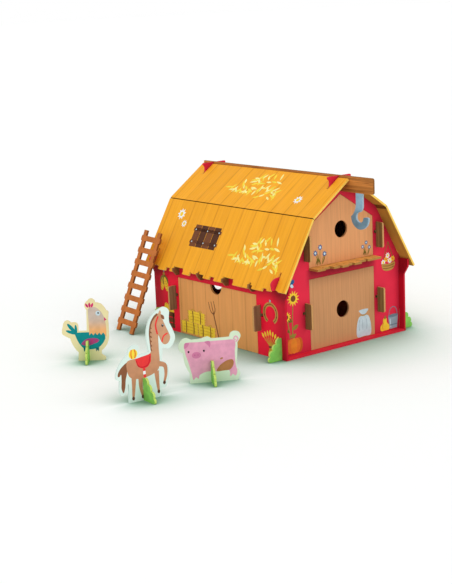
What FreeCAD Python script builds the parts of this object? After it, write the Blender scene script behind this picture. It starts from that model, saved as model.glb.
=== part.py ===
"""Slot-together cardboard barn with fold-down doors, turn latches, a ladder and three stand-up animals.

Lengths are millimetres. The origin is the middle of the barn's underside, the ridge runs along Y,
the gable with the hoist hook faces -Y and Z is up. Every piece is cut from flat board.
"""
import FreeCAD, Part
import math
import os
from types import SimpleNamespace

import Sketcher
from FreeCAD import Vector

SIZES = {
    # Board and clearances
    "board": 3.0,
    "fit_gap": 0.2,
    "swing_gap": 0.4,
    # Walls: over the outer faces, and how far in from the wall ends the gables stand
    "wall_span": 230.0,
    "wall_length": 300.0,
    "gable_inset": 9.5,
    "flare_reach": 8.0,
    "flare_height": 11.0,
    "flare_taper": 12.0,
    # Roof, on its outer faces: fold below the ridge and inside the walls, eave below the loft floor
    "ridge_height": 239.5,
    "fold_drop": 48.5,
    "fold_inset": 45.0,
    "eave_drop": 20.0,
    "eave_overhang": 8.5,
    "roof_overhang": 11.0,
    "eave_tooth": 5.2,
    # Gable ears that pass through the roof and the walls
    "ridge_ear_half_span": 18.0,
    "eave_ear_reach": 12.6,
    "eave_ear_drop": 0.5,
    "eave_ear_rise": 15.5,
    "eave_slit_rise": 22.0,
    "bush_reach": 21.0,
    "bush_height": 31.0,
    # Doors: insets from the wall faces and ends, and the boards left above them
    "side_door_inset": 60.5,
    "side_door_head": 23.3,
    "side_notch_radius": 13.0,
    "gable_door_inset": 53.5,
    "gable_door_head": 13.0,
    "loft_door_inset": 54.2,
    "loft_side_head": 18.0,
    "loft_apex_head": 22.0,
    "finger_hole": 24.0,
    # Turn latches
    "latch_reach": 13.0,
    "latch_long_arm": 22.0,
    "latch_short_arm": 14.0,
    "latch_corner": 2.5,
    "latch_head_length": 10.0,
    "latch_head_depth": 4.0,
    "latch_neck_play": 0.5,
    "latch_slot_length": 11.0,
    "latch_offset": 8.0,
    # Loft floor, its ledges and the cross joists
    "loft_floor_top": 119.0,
    "ledge_reach": 22.5,
    "joist_depth": 21.0,
    "joist_toe_reach": 5.5,
    "joist_tail_reach": 11.3,
    "joist_tail_drop": 6.0,
    "joist_tail_rise": 1.0,
    "joist_tip_depth": 4.2,
    # Ridge beam and its hook
    "beam_depth": 22.0,
    "beam_proud": 0.8,
    "beam_overhang": 45.5,
    "beam_rear_reach": 1.0,
    "beam_corner": 3.0,
    "hook_forward": 18.7,
    "hook_drop": 33.1,
    "hook_outer_radius": 16.8,
    "hook_inner_radius": 7.2,
    "hook_strap_width": 12.6,
    # Ladder
    "ladder_rail_spacing": 39.2,
    "ladder_rail_width": 8.8,
    "ladder_rung_height": 8.2,
    "ladder_rung_pitch": 18.5,
    "ladder_first_rung": 10.5,
    "ladder_top_reach": 8.3,
    "ladder_rung_overhang": 2.4,
    "ladder_side_gap": 1.2,
    # Animals and their stands
    "hen_length": 66.0,
    "hen_height": 88.0,
    "horse_length": 87.0,
    "horse_height": 114.0,
    "pig_length": 81.0,
    "pig_height": 65.0,
    "stand_length": 52.0,
    "stand_height": 28.5,
    "stand_lap": 13.0,
    # Where the animals stand: the crossing of figure and stand
    "hen_left": 297.2,
    "hen_back": 59.8,
    "horse_left": 353.0,
    "horse_front": 152.1,
    "pig_left": 244.4,
    "pig_front": 151.5,
}

# Angles in degrees
LADDER_LEAN = 22.2
LADDER_TURN = 5.0
HEN_TURN = -40.0
HORSE_TURN = -5.0
PIG_TURN = -29.0

RUNGS = 8
JOISTS = 4
RUNG_AT_EAR = 5

# Heights of finger holes and latches, as shares of the heights of their doors
GABLE_HOLE_SHARE = 0.483
LOFT_HOLE_SHARE = 0.485
SIDE_LATCH_SHARE = 0.679
GABLE_LATCH_SHARE = 0.543
LOFT_LATCH_SHARE = 0.5813
# A slot that a square neck can turn in is higher than the neck's diagonal
NECK_SLOT_SHARE = math.sqrt(2) * 1.1

# How far an arc bows out of its chord: sagitta over half the chord
QUARTER_TURN_BULGE_SHARE = math.tan(math.radians(90) / 4)
SCALLOP_BULGE_SHARE = 0.75
RUNG_END_BULGE_SHARE = 0.15
HOOK_BACK_BULGE_SHARE = -0.2
HOOK_THROAT_BULGE_SHARE = 0.3
HOOK_TIP_BULGE_SHARE = 0.2

# Plank ends along each eave: from and to as shares of half the roof length, positive to the rear,
# and how much of the longest plank end each one reaches
EAVE_TOOTH_SHARES = (
    (-1.0, -0.905, 0.3),
    (-0.82, -0.765, 0.5),
    (-0.71, -0.575, 0.9),
    (-0.52, -0.32, 1.0),
    (-0.16, -0.055, 1.0),
    (0.015, 0.1, 0.9),
    (0.2, 0.285, 0.25),
    (0.305, 0.4, 1.0),
    (0.56, 0.6, 0.9),
    (0.665, 0.775, 1.0),
    (0.905, 1.0, 1.0),
)
# Spacing of the joists, and the run of every second joist's notch in the eave, as shares of half
# the roof length
JOIST_SPACING_SHARE = 0.36
NOTCH_RUN_SHARE = 0.12

# Plank ends along a ledge: from and to as shares of its half width, and how much of the ledge's
# reach each one takes. The gaps between them are cut back to the root.
LEDGE_TOOTH_SHARES = (
    (-1.0, -0.76, 0.77),
    (-0.74, -0.56, 0.57),
    (-0.53, -0.35, 0.85),
    (-0.32, -0.13, 1.0),
    (-0.11, 0.05, 0.81),
    (0.08, 0.29, 0.97),
    (0.31, 0.54, 0.64),
    (0.57, 1.0, 0.75),
)
LEDGE_ROOT_SHARE = 0.42
# How much of the hook's strap lies behind the middle of its bowl
STRAP_BACK_SHARE = 0.55

# Animal outlines, counter-clockwise from the rear foot: shares of length and height, and the
# bulge of the edge that follows, positive outward
HEN_SHARES = (
    (0.31, 0, 0), (0.865, 0, 0.5), (0.885, 0.055, 0), (0.81, 0.095, 0), (0.81, 0.155, 0.12),
    (0.94, 0.26, 0.12), (0.985, 0.40, 0.02), (0.985, 0.65, 0), (1.0, 0.745, 0.5), (0.955, 0.80, 0.15),
    (0.85, 0.91, 0.1), (0.735, 0.935, 0.35), (0.665, 1.0, 0.3), (0.575, 0.965, 0.35),
    (0.51, 0.87, 0.1), (0.545, 0.82, 0), (0.525, 0.48, 0), (0.35, 0.48, 0), (0.35, 0.565, 0.4),
    (0.275, 0.625, 0.1), (0.20, 0.62, 0.3), (0.115, 0.66, 0.35), (0.03, 0.58, 0.05), (0, 0.475, 0.35),
    (0.05, 0.415, 0), (0.17, 0.365, 0.1), (0.235, 0.235, 0.1), (0.325, 0.14, 0),
)
HORSE_SHARES = (
    (0.193, 0, 0), (0.70, 0, 0.3), (0.715, 0.05, 0), (0.735, 0.10, 0.35), (0.82, 0.105, 0.1),
    (0.866, 0.21, 0.1), (0.862, 0.325, 0.35), (0.772, 0.39, -0.1), (0.775, 0.48, 0), (0.79, 0.545, 0.1),
    (0.878, 0.52, 0.25), (0.978, 0.586, 0.25), (0.997, 0.663, 0.05), (0.918, 0.807, -0.1),
    (0.925, 0.925, 0.35), (0.834, 0.995, 0.1), (0.69, 0.955, 0.1), (0.592, 0.88, 0.1), (0.533, 0.733, 0.05),
    (0.54, 0.606, 0), (0.556, 0.526, -0.08), (0.40, 0.519, -0.1), (0.394, 0.587, 0.45), (0.324, 0.636, 0.2),
    (0.23, 0.60, 0.05), (0.202, 0.544, 0), (0.141, 0.505, 0.1), (0.03, 0.396, 0.12), (0, 0.318, 0.5),
    (0.059, 0.275, 0), (0.044, 0.167, 0.3), (0.083, 0.10, 0.35), (0.155, 0.13, 0.1), (0.185, 0.215, -0.6),
    (0.197, 0.205, 0),
)
PIG_SHARES = (
    (0.16, 0, 0), (0.928, 0, 0.1), (0.953, 0.075, 0.35), (0.965, 0.165, 0.35), (0.914, 0.238, 0),
    (0.937, 0.569, 0.04), (0.945, 0.775, 0.1), (1.0, 0.892, 0.45), (0.926, 1.0, 0.35), (0.831, 0.946, 0),
    (0.815, 0.89, 0), (0.541, 0.885, 0), (0.477, 0.93, 0.1), (0.368, 0.90, 0), (0.21, 0.89, 0),
    (0.133, 0.935, 0.15), (0.068, 0.917, 0.15), (0, 0.806, 0.2), (0.016, 0.677, 0.35), (0.065, 0.65, 0.05),
    (0.085, 0.431, 0.1), (0.158, 0.212, 0),
)
# Where each figure's slot is, as a share of its length
HEN_SLOT_SHARE = 0.53
HORSE_SLOT_SHARE = 0.445
PIG_SLOT_SHARE = 0.518

# A bush edge from its foot to its top: shares of reach and height
BUSH_SHARES = ((1.0, 0.0), (0.97, 0.24), (0.70, 0.50), (0.42, 0.76), (0.06, 1.0))
# The wavy outer edge of an ear from its low corner up: share of its height, share of the board that
# it swells by, and the bulge of the edge that follows
RIDGE_EAR_SHARES = ((0.0, 0.0, 0), (0.6, 0.0, -0.3), (0.8, 1.0, 0.3), (1.0, 0.9, 0))
RIDGE_EAR_SWELL_SHARE = 1.0
EAVE_EAR_SHARES = ((0.0, 0.0, 0), (0.6, 0.6, 0.35))
# Swell over rise of the straight foot of an eave ear, which the ladder leans on
EAVE_EAR_SLOPE_SHARE = 1.0


class Size:
    """A length that carries its number and the sheet expression that it follows."""

    def __init__(self, number, text):
        self.number = number
        self.text = text

    def __add__(self, other):
        other = sized(other)
        return Size(self.number + other.number, f"({self.text} + {other.text})")

    def __sub__(self, other):
        other = sized(other)
        return Size(self.number - other.number, f"({self.text} - {other.text})")

    def __mul__(self, other):
        other = sized(other)
        return Size(self.number * other.number, f"({self.text} * {other.text})")

    def __truediv__(self, other):
        other = sized(other)
        return Size(self.number / other.number, f"({self.text} / {other.text})")

    def __rsub__(self, other):
        return sized(other) - self

    def __neg__(self):
        return Size(-self.number, f"(0 - {self.text})")

    __radd__ = __add__
    __rmul__ = __mul__


def sized(value):
    """A plain count or share as a Size, or the Size itself."""
    if isinstance(value, Size):
        return value
    return Size(float(value), f"({value:.9f})")


def root(value):
    return Size(math.sqrt(value.number), f"sqrt({value.text})")


def hypotenuse(a, b):
    return root(a * a + b * b)


doc = FreeCAD.newDocument("toy_farm")
sheet = doc.addObject("Spreadsheet::Sheet", "Params")
for row, (alias, value) in enumerate(SIZES.items(), start=1):
    sheet.set(f"A{row}", alias)
    sheet.set(f"B{row}", str(value))
    sheet.setAlias(f"B{row}", alias)
doc.recompute()
p = SimpleNamespace(**{alias: Size(value, f"Params.{alias}") for alias, value in SIZES.items()})

# Planes and slopes that several pieces share
half_board = p.board / 2
wall_face = p.wall_span / 2
wall_inner = wall_face - p.board
wall_half = p.wall_length / 2
gable_face = wall_half - p.gable_inset
gable_inner = gable_face - p.board
gable_middle = gable_face - half_board
roof_half = wall_half + p.roof_overhang
fold_half_span = wall_face - p.fold_inset
fold_height = p.ridge_height - p.fold_drop
eave_half_span = wall_face + p.eave_overhang
eave_height = p.loft_floor_top - p.eave_drop
eave_ear_half_span = wall_face + p.eave_ear_reach
eave_ear_low = eave_height - p.eave_ear_drop
eave_ear_top = eave_ear_low + p.eave_ear_rise
beam_top = p.ridge_height + p.beam_proud
beam_bottom = beam_top - p.beam_depth
lap_height = beam_top - p.beam_depth / 2
joist_top = p.loft_floor_top - p.board
joist_bottom = joist_top - p.joist_depth
joist_spacing = roof_half * JOIST_SPACING_SHARE
tail_top = eave_height + p.joist_tail_rise

upper_length = hypotenuse(p.fold_drop, fold_half_span)
upper_sin = p.fold_drop / upper_length
upper_cos = fold_half_span / upper_length
lower_rise = fold_height - eave_height
lower_run = eave_half_span - fold_half_span
lower_length = hypotenuse(lower_rise, lower_run)
lower_sin = lower_rise / lower_length
lower_cos = lower_run / lower_length
bend_sin = lower_sin * upper_cos - lower_cos * upper_sin
bend_cos = lower_cos * upper_cos + lower_sin * upper_sin
fold_setback = p.board * bend_sin / (bend_cos + 1) + p.fit_gap / 2

# The roof's underside, less a fit, as two straight lines in the gable's plane
upper_slope = p.fold_drop / fold_half_span
lower_slope = lower_rise / lower_run
upper_start = p.ridge_height - (p.board + p.fit_gap) / upper_cos
lower_start = eave_height + eave_half_span * lower_slope - (p.board + p.fit_gap) / lower_cos


def upper_under(x):
    return upper_start - upper_slope * x


def lower_under(x):
    return lower_start - x * lower_slope


def lower_under_x(z):
    return (lower_start - z) / lower_slope


fold_under_x = (lower_start - upper_start) / (lower_slope - upper_slope)
wall_top = lower_under(wall_face)

# Doors: half widths, sills and tops
side_door_half = wall_half - p.side_door_inset
side_door_top = wall_top - p.side_door_head
gable_door_half = wall_face - p.gable_door_inset
gable_door_sill = p.board + p.swing_gap
gable_door_top = joist_top - p.gable_door_head
loft_door_half = wall_face - p.loft_door_inset
loft_door_sill = p.loft_floor_top + p.swing_gap
loft_side_top = upper_under(loft_door_half) - p.loft_side_head
loft_apex = upper_under(0) - p.loft_apex_head
side_latch_height = side_door_top * SIDE_LATCH_SHARE
gable_latch_height = gable_door_sill + (gable_door_top - gable_door_sill) * GABLE_LATCH_SHARE
loft_latch_height = loft_door_sill + (loft_side_top - loft_door_sill) * LOFT_LATCH_SHARE


def corner_list(corners):
    """Corners as (x, y, bulge) with sizes for x and y."""
    filled = [tuple(corner) + (0,) if len(corner) == 2 else tuple(corner) for corner in corners]
    return [(sized(x), sized(y), bulge) for x, y, bulge in filled]


def mirrored(half):
    """Closes an outline drawn on the +x side, from its first to its last corner, with its mirror image."""
    half = corner_list(half)
    back = [(-x, y, half[i - 1][2] if i else 0) for i, (x, y, bulge) in enumerate(half)]
    return half + back[::-1]


def rectangle(x0, y0, x1, y1):
    return [(x0, y0), (x1, y0), (x1, y1), (x0, y1)]


def scalloped(points, bulge=SCALLOP_BULGE_SHARE):
    """Round lobes between neighbouring points. The edge after the last point is straight."""
    return [(x, y, bulge) for x, y in points[:-1]] + [points[-1]]


def edge_between(x, y, bulge, next_x, next_y):
    """The line or arc of one edge, and the sheet expression of the arc's radius."""
    start = Vector(x.number, y.number, 0)
    end = Vector(next_x.number, next_y.number, 0)
    if not bulge:
        return Part.LineSegment(start, end), None
    chord = end - start
    outward = Vector(chord.y, -chord.x, 0)
    middle = (start + end) / 2 + outward * (bulge / 2)
    arc = Part.Arc(start, middle, end) if bulge > 0 else Part.Arc(end, middle, start)
    radius_share = (1 + bulge * bulge) / (4 * abs(bulge))
    return arc, hypotenuse(next_x - x, next_y - y) * radius_share


def draw(sketch, corners):
    """Draws a closed outline and ties every corner and radius to the sheet."""
    corners = corner_list(corners)
    first = sketch.GeometryCount
    count = len(corners)
    constraints = []
    sizes = []
    for i, (x, y, bulge) in enumerate(corners):
        next_x, next_y, next_bulge = corners[(i + 1) % count]
        edge, radius = edge_between(x, y, bulge, next_x, next_y)
        here = sketch.addGeometry(edge)
        following = first + (i + 1) % count
        start_end = 1 if bulge >= 0 else 2
        constraints.append(Sketcher.Constraint("DistanceX", here, start_end, x.number))
        constraints.append(Sketcher.Constraint("DistanceY", here, start_end, y.number))
        sizes += [x, y]
        if radius:
            constraints.append(Sketcher.Constraint("Radius", here, radius.number))
            sizes.append(radius)
        following_start = 1 if next_bulge >= 0 else 2
        constraints.append(Sketcher.Constraint("Coincident", here, 3 - start_end, following, following_start))
        sizes.append(None)
    bind(sketch, constraints, sizes)


def draw_circle(sketch, x, y, diameter):
    """Draws a round hole and ties its centre and radius to the sheet."""
    x, y, radius = sized(x), sized(y), diameter / 2
    centre = Vector(x.number, y.number, 0)
    hole = sketch.addGeometry(Part.Circle(centre, Vector(0, 0, 1), radius.number))
    constraints = [
        Sketcher.Constraint("DistanceX", hole, 3, x.number),
        Sketcher.Constraint("DistanceY", hole, 3, y.number),
        Sketcher.Constraint("Radius", hole, radius.number),
    ]
    bind(sketch, constraints, [x, y, radius])


def bind(sketch, constraints, sizes):
    start = sketch.ConstraintCount
    sketch.addConstraint(constraints)
    for offset, size in enumerate(sizes):
        if size:
            sketch.setExpression(f"Constraints[{start + offset}]", size.text)


def add_board(body, name, outline, holes=(), circles=(), inward=False):
    """Adds an outline with holes to a body, padded by the board's thickness."""
    sketch = body.newObject("Sketcher::SketchObject", f"{name}_outline")
    plane = next(part for part in body.Origin.OriginFeatures if part.Role == "XY_Plane")
    sketch.AttachmentSupport = [(plane, "")]
    sketch.MapMode = "FlatFace"
    for corners in (outline, *holes):
        draw(sketch, corners)
    for x, y, diameter in circles:
        draw_circle(sketch, x, y, diameter)
    pad = body.newObject("PartDesign::Pad", f"{name}_board")
    pad.Profile = sketch
    pad.setExpression("Length", p.board.text)
    pad.Reversed = inward
    return pad


def cut_board(label, outline, holes=(), circles=(), inward=False):
    """One piece of board as a body of its own."""
    body = doc.addObject("PartDesign::Body", label)
    add_board(body, label, outline, holes, circles, inward)
    return body


def place(body, base, x_axis, y_axis):
    """Stands a board in the barn: its outline's axes, and its origin tied to the sheet."""
    rotation = FreeCAD.Rotation(x_axis, y_axis, x_axis.cross(y_axis), "XYZ")
    base = [sized(value) for value in base]
    body.Placement = FreeCAD.Placement(Vector(*(value.number for value in base)), rotation)
    for axis, value in zip("xyz", base):
        body.setExpression(f"Placement.Base.{axis}", value.text)


X, Y, Z = Vector(1, 0, 0), Vector(0, 1, 0), Vector(0, 0, 1)


def make_floor():
    corners = rectangle(-wall_inner, -wall_half, wall_inner, wall_half)
    place(cut_board("floor_panel", corners), (0, 0, 0), X, Y)


def latch_slots(half_width, height):
    """The two slots beside a door that its latches turn in."""
    half_length = p.latch_slot_length / 2
    half_height = p.board * NECK_SLOT_SHARE / 2
    slots = []
    for side in (-1, 1):
        middle = (half_width + p.latch_offset) * side
        slots.append(rectangle(
            middle - half_length, height - half_height, middle + half_length, height + half_height))
    return slots


def notch(middle, low, top):
    """A slot for a board, open at the top, walked towards the middle."""
    far = middle + half_board + p.fit_gap
    near = middle - half_board - p.fit_gap
    return [(far, top), (far, low), (near, low), (near, top)]


def make_walls():
    door_half = side_door_half + p.swing_gap
    end = wall_half
    flare = end + p.flare_reach
    ear = gable_middle
    ear_half = half_board + p.fit_gap
    ear_top = p.bush_height + p.fit_gap
    half = [
        (door_half, side_door_top + p.swing_gap), (door_half, 0),
        (ear - ear_half, 0), (ear - ear_half, ear_top), (ear + ear_half, ear_top), (ear + ear_half, 0),
        (end, 0), (end, wall_top - p.flare_height - p.flare_taper), (flare, wall_top - p.flare_height),
        (flare, wall_top),
    ]
    half += notch(ear, eave_ear_low - p.fit_gap, wall_top)
    for step in reversed(range(JOISTS // 2)):
        half += notch(joist_spacing * (step + 0.5), joist_bottom, wall_top)
    holes = latch_slots(side_door_half, side_latch_height)
    place(cut_board("left_wall", mirrored(half), holes), (-wall_face, 0, 0), Y, Z)
    place(cut_board("right_wall", mirrored(half), holes), (wall_face, 0, 0), -Y, Z)


def ear_wave(x, low, top, shares):
    """The wavy outer edge of an ear from its low corner up."""
    return [(x + p.board * swell, low + (top - low) * rise, bulge) for rise, swell, bulge in shares]


def make_gables():
    door_half = gable_door_half + p.swing_gap
    side = wall_inner - p.fit_gap
    bush_rise = p.bush_height - p.swing_gap
    bush = [(wall_face + p.bush_reach * out, p.swing_gap + bush_rise * up) for out, up in BUSH_SHARES]
    ridge_ear_low = upper_under(p.ridge_ear_half_span)
    half = [
        (door_half, gable_door_top + p.swing_gap), (door_half, p.board), (wall_inner, p.board),
        (wall_inner, p.swing_gap), *scalloped(bush), (side, p.bush_height),
        (side, eave_ear_low), *ear_wave(eave_ear_half_span, eave_ear_low, eave_ear_top, EAVE_EAR_SHARES),
        (lower_under_x(eave_ear_top), eave_ear_top), (fold_under_x, upper_under(fold_under_x)),
        *ear_wave(p.ridge_ear_half_span, ridge_ear_low, p.ridge_height, RIDGE_EAR_SHARES),
        (half_board + p.fit_gap, p.ridge_height), (half_board + p.fit_gap, lap_height),
    ]
    loft_half = loft_door_half + p.swing_gap
    loft_low = joist_top - p.fit_gap
    loft_high = loft_side_top + p.swing_gap
    loft = [
        (-loft_half, loft_low), (loft_half, loft_low), (loft_half, loft_high),
        (0, loft_apex + p.swing_gap * 2), (-loft_half, loft_high),
    ]
    holes = [loft]
    holes += latch_slots(gable_door_half, gable_latch_height)
    holes += latch_slots(loft_door_half, loft_latch_height)
    place(cut_board("front_gable", mirrored(half), holes), (0, -gable_inner, 0), X, Z)
    place(cut_board("rear_gable", mirrored(half), holes), (0, gable_inner, 0), -X, Z)


def make_loft_floor():
    wide = lower_under_x(p.loft_floor_top) - p.fit_gap
    inside = gable_inner - p.fit_gap
    ledge = loft_door_half
    root = gable_face + p.ledge_reach * LEDGE_ROOT_SHARE
    planks = []
    for start, stop, share in LEDGE_TOOTH_SHARES:
        reach = gable_face + p.ledge_reach * share
        planks += [(ledge * start, root), (ledge * start, reach), (ledge * stop, reach), (ledge * stop, root)]
    # The first and the last plank end at the ledge's sides, so they have no gap beyond them
    planks = planks[1:-1]
    front_edge = [(x, -y) for x, y in planks]
    rear_edge = [(-x, y) for x, y in planks]
    corners = [
        (wide, -inside), (wide, inside), (ledge, inside), *rear_edge, (-ledge, inside),
        (-wide, inside), (-wide, -inside), (-ledge, -inside), *front_edge, (ledge, -inside),
    ]
    place(cut_board("loft_floor", corners), (0, 0, joist_top), X, Y)


def joist_middle(number):
    return joist_spacing * (number - (JOISTS - 1) / 2)


def make_joists():
    """Cross boards with hooked tails that reach out through notches in the eaves."""
    hook = wall_face + p.fit_gap
    toe = wall_face + p.joist_toe_reach
    tip = wall_face + p.joist_tail_reach
    tail_bottom = joist_bottom - p.joist_tail_drop
    half = [
        (hook, joist_bottom), (hook, tail_bottom), (toe, tail_bottom), (tip, tail_top - p.joist_tip_depth),
        (tip, tail_top), (lower_under_x(tail_top), tail_top), (lower_under_x(joist_top), joist_top),
    ]
    for number in range(JOISTS):
        body = cut_board(f"cross_joist_{number + 1}", mirrored(half))
        place(body, (0, joist_middle(number) + half_board, 0), X, Z)


def make_beam():
    """The ridge board, with the hoist hook cut in one piece with its front end."""
    front = roof_half + p.beam_overhang
    rear = -roof_half - p.beam_rear_reach
    corner = p.beam_corner
    middle = roof_half + p.hook_forward
    height = beam_bottom - p.hook_drop
    outer = p.hook_outer_radius
    inner = p.hook_inner_radius
    strap_back = middle - p.hook_strap_width * STRAP_BACK_SHARE
    strap_front = strap_back + p.hook_strap_width
    lap_half = half_board + p.fit_gap
    lap_top = lap_height + p.fit_gap
    quarter = QUARTER_TURN_BULGE_SHARE
    hook = [
        (strap_back, beam_bottom), (strap_back, height + outer, HOOK_BACK_BULGE_SHARE),
        (middle - outer, height, quarter), (middle, height - outer, quarter),
        (middle + outer, height, HOOK_TIP_BULGE_SHARE),
        (middle + inner, height, -quarter), (middle, height - inner, -quarter),
        (middle - inner, height, -quarter), (middle, height + inner, HOOK_THROAT_BULGE_SHARE),
        (strap_front, height + outer), (strap_front, beam_bottom),
    ]
    corners = [
        (rear, beam_bottom),
        (-gable_middle - lap_half, beam_bottom), (-gable_middle - lap_half, lap_top),
        (-gable_middle + lap_half, lap_top), (-gable_middle + lap_half, beam_bottom),
        (gable_middle - lap_half, beam_bottom), (gable_middle - lap_half, lap_top),
        (gable_middle + lap_half, lap_top), (gable_middle + lap_half, beam_bottom),
        *hook,
        (front - corner, beam_bottom, quarter), (front, beam_bottom + corner),
        (front, beam_top - corner, quarter), (front - corner, beam_top),
        (rear, beam_top),
    ]
    place(cut_board("ridge_beam", corners), (half_board, 0, 0), -Y, Z)


def place_panel(body, side, start_x, start_z, rise, run):
    """Lays a roof panel on its slope, with its outer face through the given point."""
    angle = Size(math.degrees(math.atan2(rise.number, run.number)), f"atan2({rise.text}; {run.text})")
    if side < 0:
        angle = Size(180 - angle.number, f"(180 deg - {angle.text})")
    base = Vector(side * start_x.number, 0, start_z.number)
    body.Placement = FreeCAD.Placement(base, FreeCAD.Rotation(Y, angle.number))
    body.setExpression("Placement.Base.x", (start_x * side).text)
    body.setExpression("Placement.Base.z", start_z.text)
    body.setExpression("Placement.Rotation.Angle", angle.text)


def make_roof():
    ear_half = half_board + p.swing_gap
    ridge_edge = (half_board + p.fit_gap + p.board * upper_sin) / upper_cos
    ridge_slot_x = p.ridge_ear_half_span + p.board * (RIDGE_EAR_SWELL_SHARE + upper_sin) + p.swing_gap
    ridge_slot = ridge_slot_x / upper_cos
    fold_edge = upper_length - fold_setback
    upper = [(fold_edge, -roof_half), (fold_edge, roof_half), (ridge_edge, roof_half)]
    for middle in (gable_middle, -gable_middle):
        upper += [
            (ridge_edge, middle + ear_half), (ridge_slot, middle + ear_half),
            (ridge_slot, middle - ear_half), (ridge_edge, middle - ear_half),
        ]
    upper.append((ridge_edge, -roof_half))

    eave = lower_length
    slit = eave - p.eave_slit_rise / lower_sin
    steps = []
    for start, stop, reach in EAVE_TOOTH_SHARES:
        steps.append((roof_half * start, roof_half * stop, eave + p.eave_tooth * reach))
    steps += [(middle - ear_half, middle + ear_half, slit) for middle in (-gable_middle, gable_middle)]
    tail_notch = eave - (p.joist_tail_rise + p.board * lower_cos + p.swing_gap) / lower_sin
    for number in range(JOISTS):
        middle = joist_middle(number)
        run = roof_half * NOTCH_RUN_SHARE * (number % 2)
        steps.append((middle - ear_half - run, middle + ear_half, tail_notch))
    lower = [(fold_setback, roof_half), (fold_setback, -roof_half)]
    for start, stop, reach in sorted(steps, key=lambda step: step[0].number):
        lower += [(eave, start), (reach, start), (reach, stop), (eave, stop)]

    for name, side in (("left", -1), ("right", 1)):
        panel = cut_board(f"{name}_roof_upper", upper, inward=side > 0)
        place_panel(panel, side, sized(0), p.ridge_height, p.fold_drop, fold_half_span)
        panel = cut_board(f"{name}_roof_lower", lower, inward=side > 0)
        place_panel(panel, side, fold_half_span, fold_height, lower_rise, lower_run)


def make_side_doors():
    half = side_door_half
    top = side_door_top - p.swing_gap
    radius = p.side_notch_radius
    bulge = -QUARTER_TURN_BULGE_SHARE
    finger_notch = [(radius, top, bulge), (0, top - radius, bulge), (-radius, top)]
    corners = [(-half, 0), (half, 0), (half, top), *finger_notch, (-half, top)]
    place(cut_board("left_side_door", corners), (-wall_face, 0, p.swing_gap), Y, Z)
    place(cut_board("right_side_door", corners), (wall_face, 0, p.swing_gap), -Y, Z)


def make_gable_doors():
    height = gable_door_top - gable_door_sill
    lower = rectangle(-gable_door_half, 0, gable_door_half, height)
    lower_hole = [(0, height * GABLE_HOLE_SHARE, p.finger_hole)]
    side_height = loft_side_top - loft_door_sill
    apex_height = loft_apex - loft_door_sill
    loft = [
        (-loft_door_half, 0), (loft_door_half, 0), (loft_door_half, side_height),
        (0, apex_height), (-loft_door_half, side_height),
    ]
    loft_hole = [(0, apex_height * LOFT_HOLE_SHARE, p.finger_hole)]
    for name, side in (("front", -1), ("rear", 1)):
        across = X * -side
        lower_door = cut_board(f"{name}_door", lower, circles=lower_hole)
        place(lower_door, (0, gable_inner * side, gable_door_sill), across, Z)
        loft_door = cut_board(f"{name}_loft_door", loft, circles=loft_hole)
        place(loft_door, (0, gable_inner * side, loft_door_sill), across, Z)


def make_latch(label, pivot, outward):
    """A turn button: a bar outside the wall, a neck through its slot and a head behind it."""
    corner = p.latch_corner
    inside = -p.board - p.latch_neck_play
    head = inside - p.latch_head_depth
    corners = [
        (head, -p.latch_head_length / 2), (inside, -p.latch_head_length / 2), (inside, -half_board),
        (p.swing_gap, -half_board), (p.swing_gap, -p.latch_long_arm),
        (p.latch_reach - corner, -p.latch_long_arm, QUARTER_TURN_BULGE_SHARE),
        (p.latch_reach, -p.latch_long_arm + corner),
        (p.latch_reach, p.latch_short_arm - corner, QUARTER_TURN_BULGE_SHARE),
        (p.latch_reach - corner, p.latch_short_arm), (p.swing_gap, p.latch_short_arm),
        (p.swing_gap, half_board), (inside, half_board),
        (inside, p.latch_head_length / 2), (head, p.latch_head_length / 2),
    ]
    back = outward.cross(Z)
    base = (pivot[0] - half_board * back.x, pivot[1] - half_board * back.y, pivot[2])
    place(cut_board(label, corners), base, outward, Z)


def make_latches():
    along = side_door_half + p.latch_offset
    across = gable_door_half + p.latch_offset
    loft_across = loft_door_half + p.latch_offset
    for end, sign in (("front", -1), ("rear", 1)):
        make_latch(f"left_wall_{end}_latch", (-wall_face, along * sign, side_latch_height), -X)
        make_latch(f"right_wall_{end}_latch", (wall_face, along * sign, side_latch_height), X)
    for side, sign in (("left", -1), ("right", 1)):
        make_latch(f"front_door_{side}_latch", (across * sign, -gable_face, gable_latch_height), -Y)
        make_latch(f"front_loft_{side}_latch", (loft_across * sign, -gable_face, loft_latch_height), -Y)
        make_latch(f"rear_door_{side}_latch", (across * sign, gable_face, gable_latch_height), Y)
        make_latch(f"rear_loft_{side}_latch", (loft_across * sign, gable_face, loft_latch_height), Y)


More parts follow.
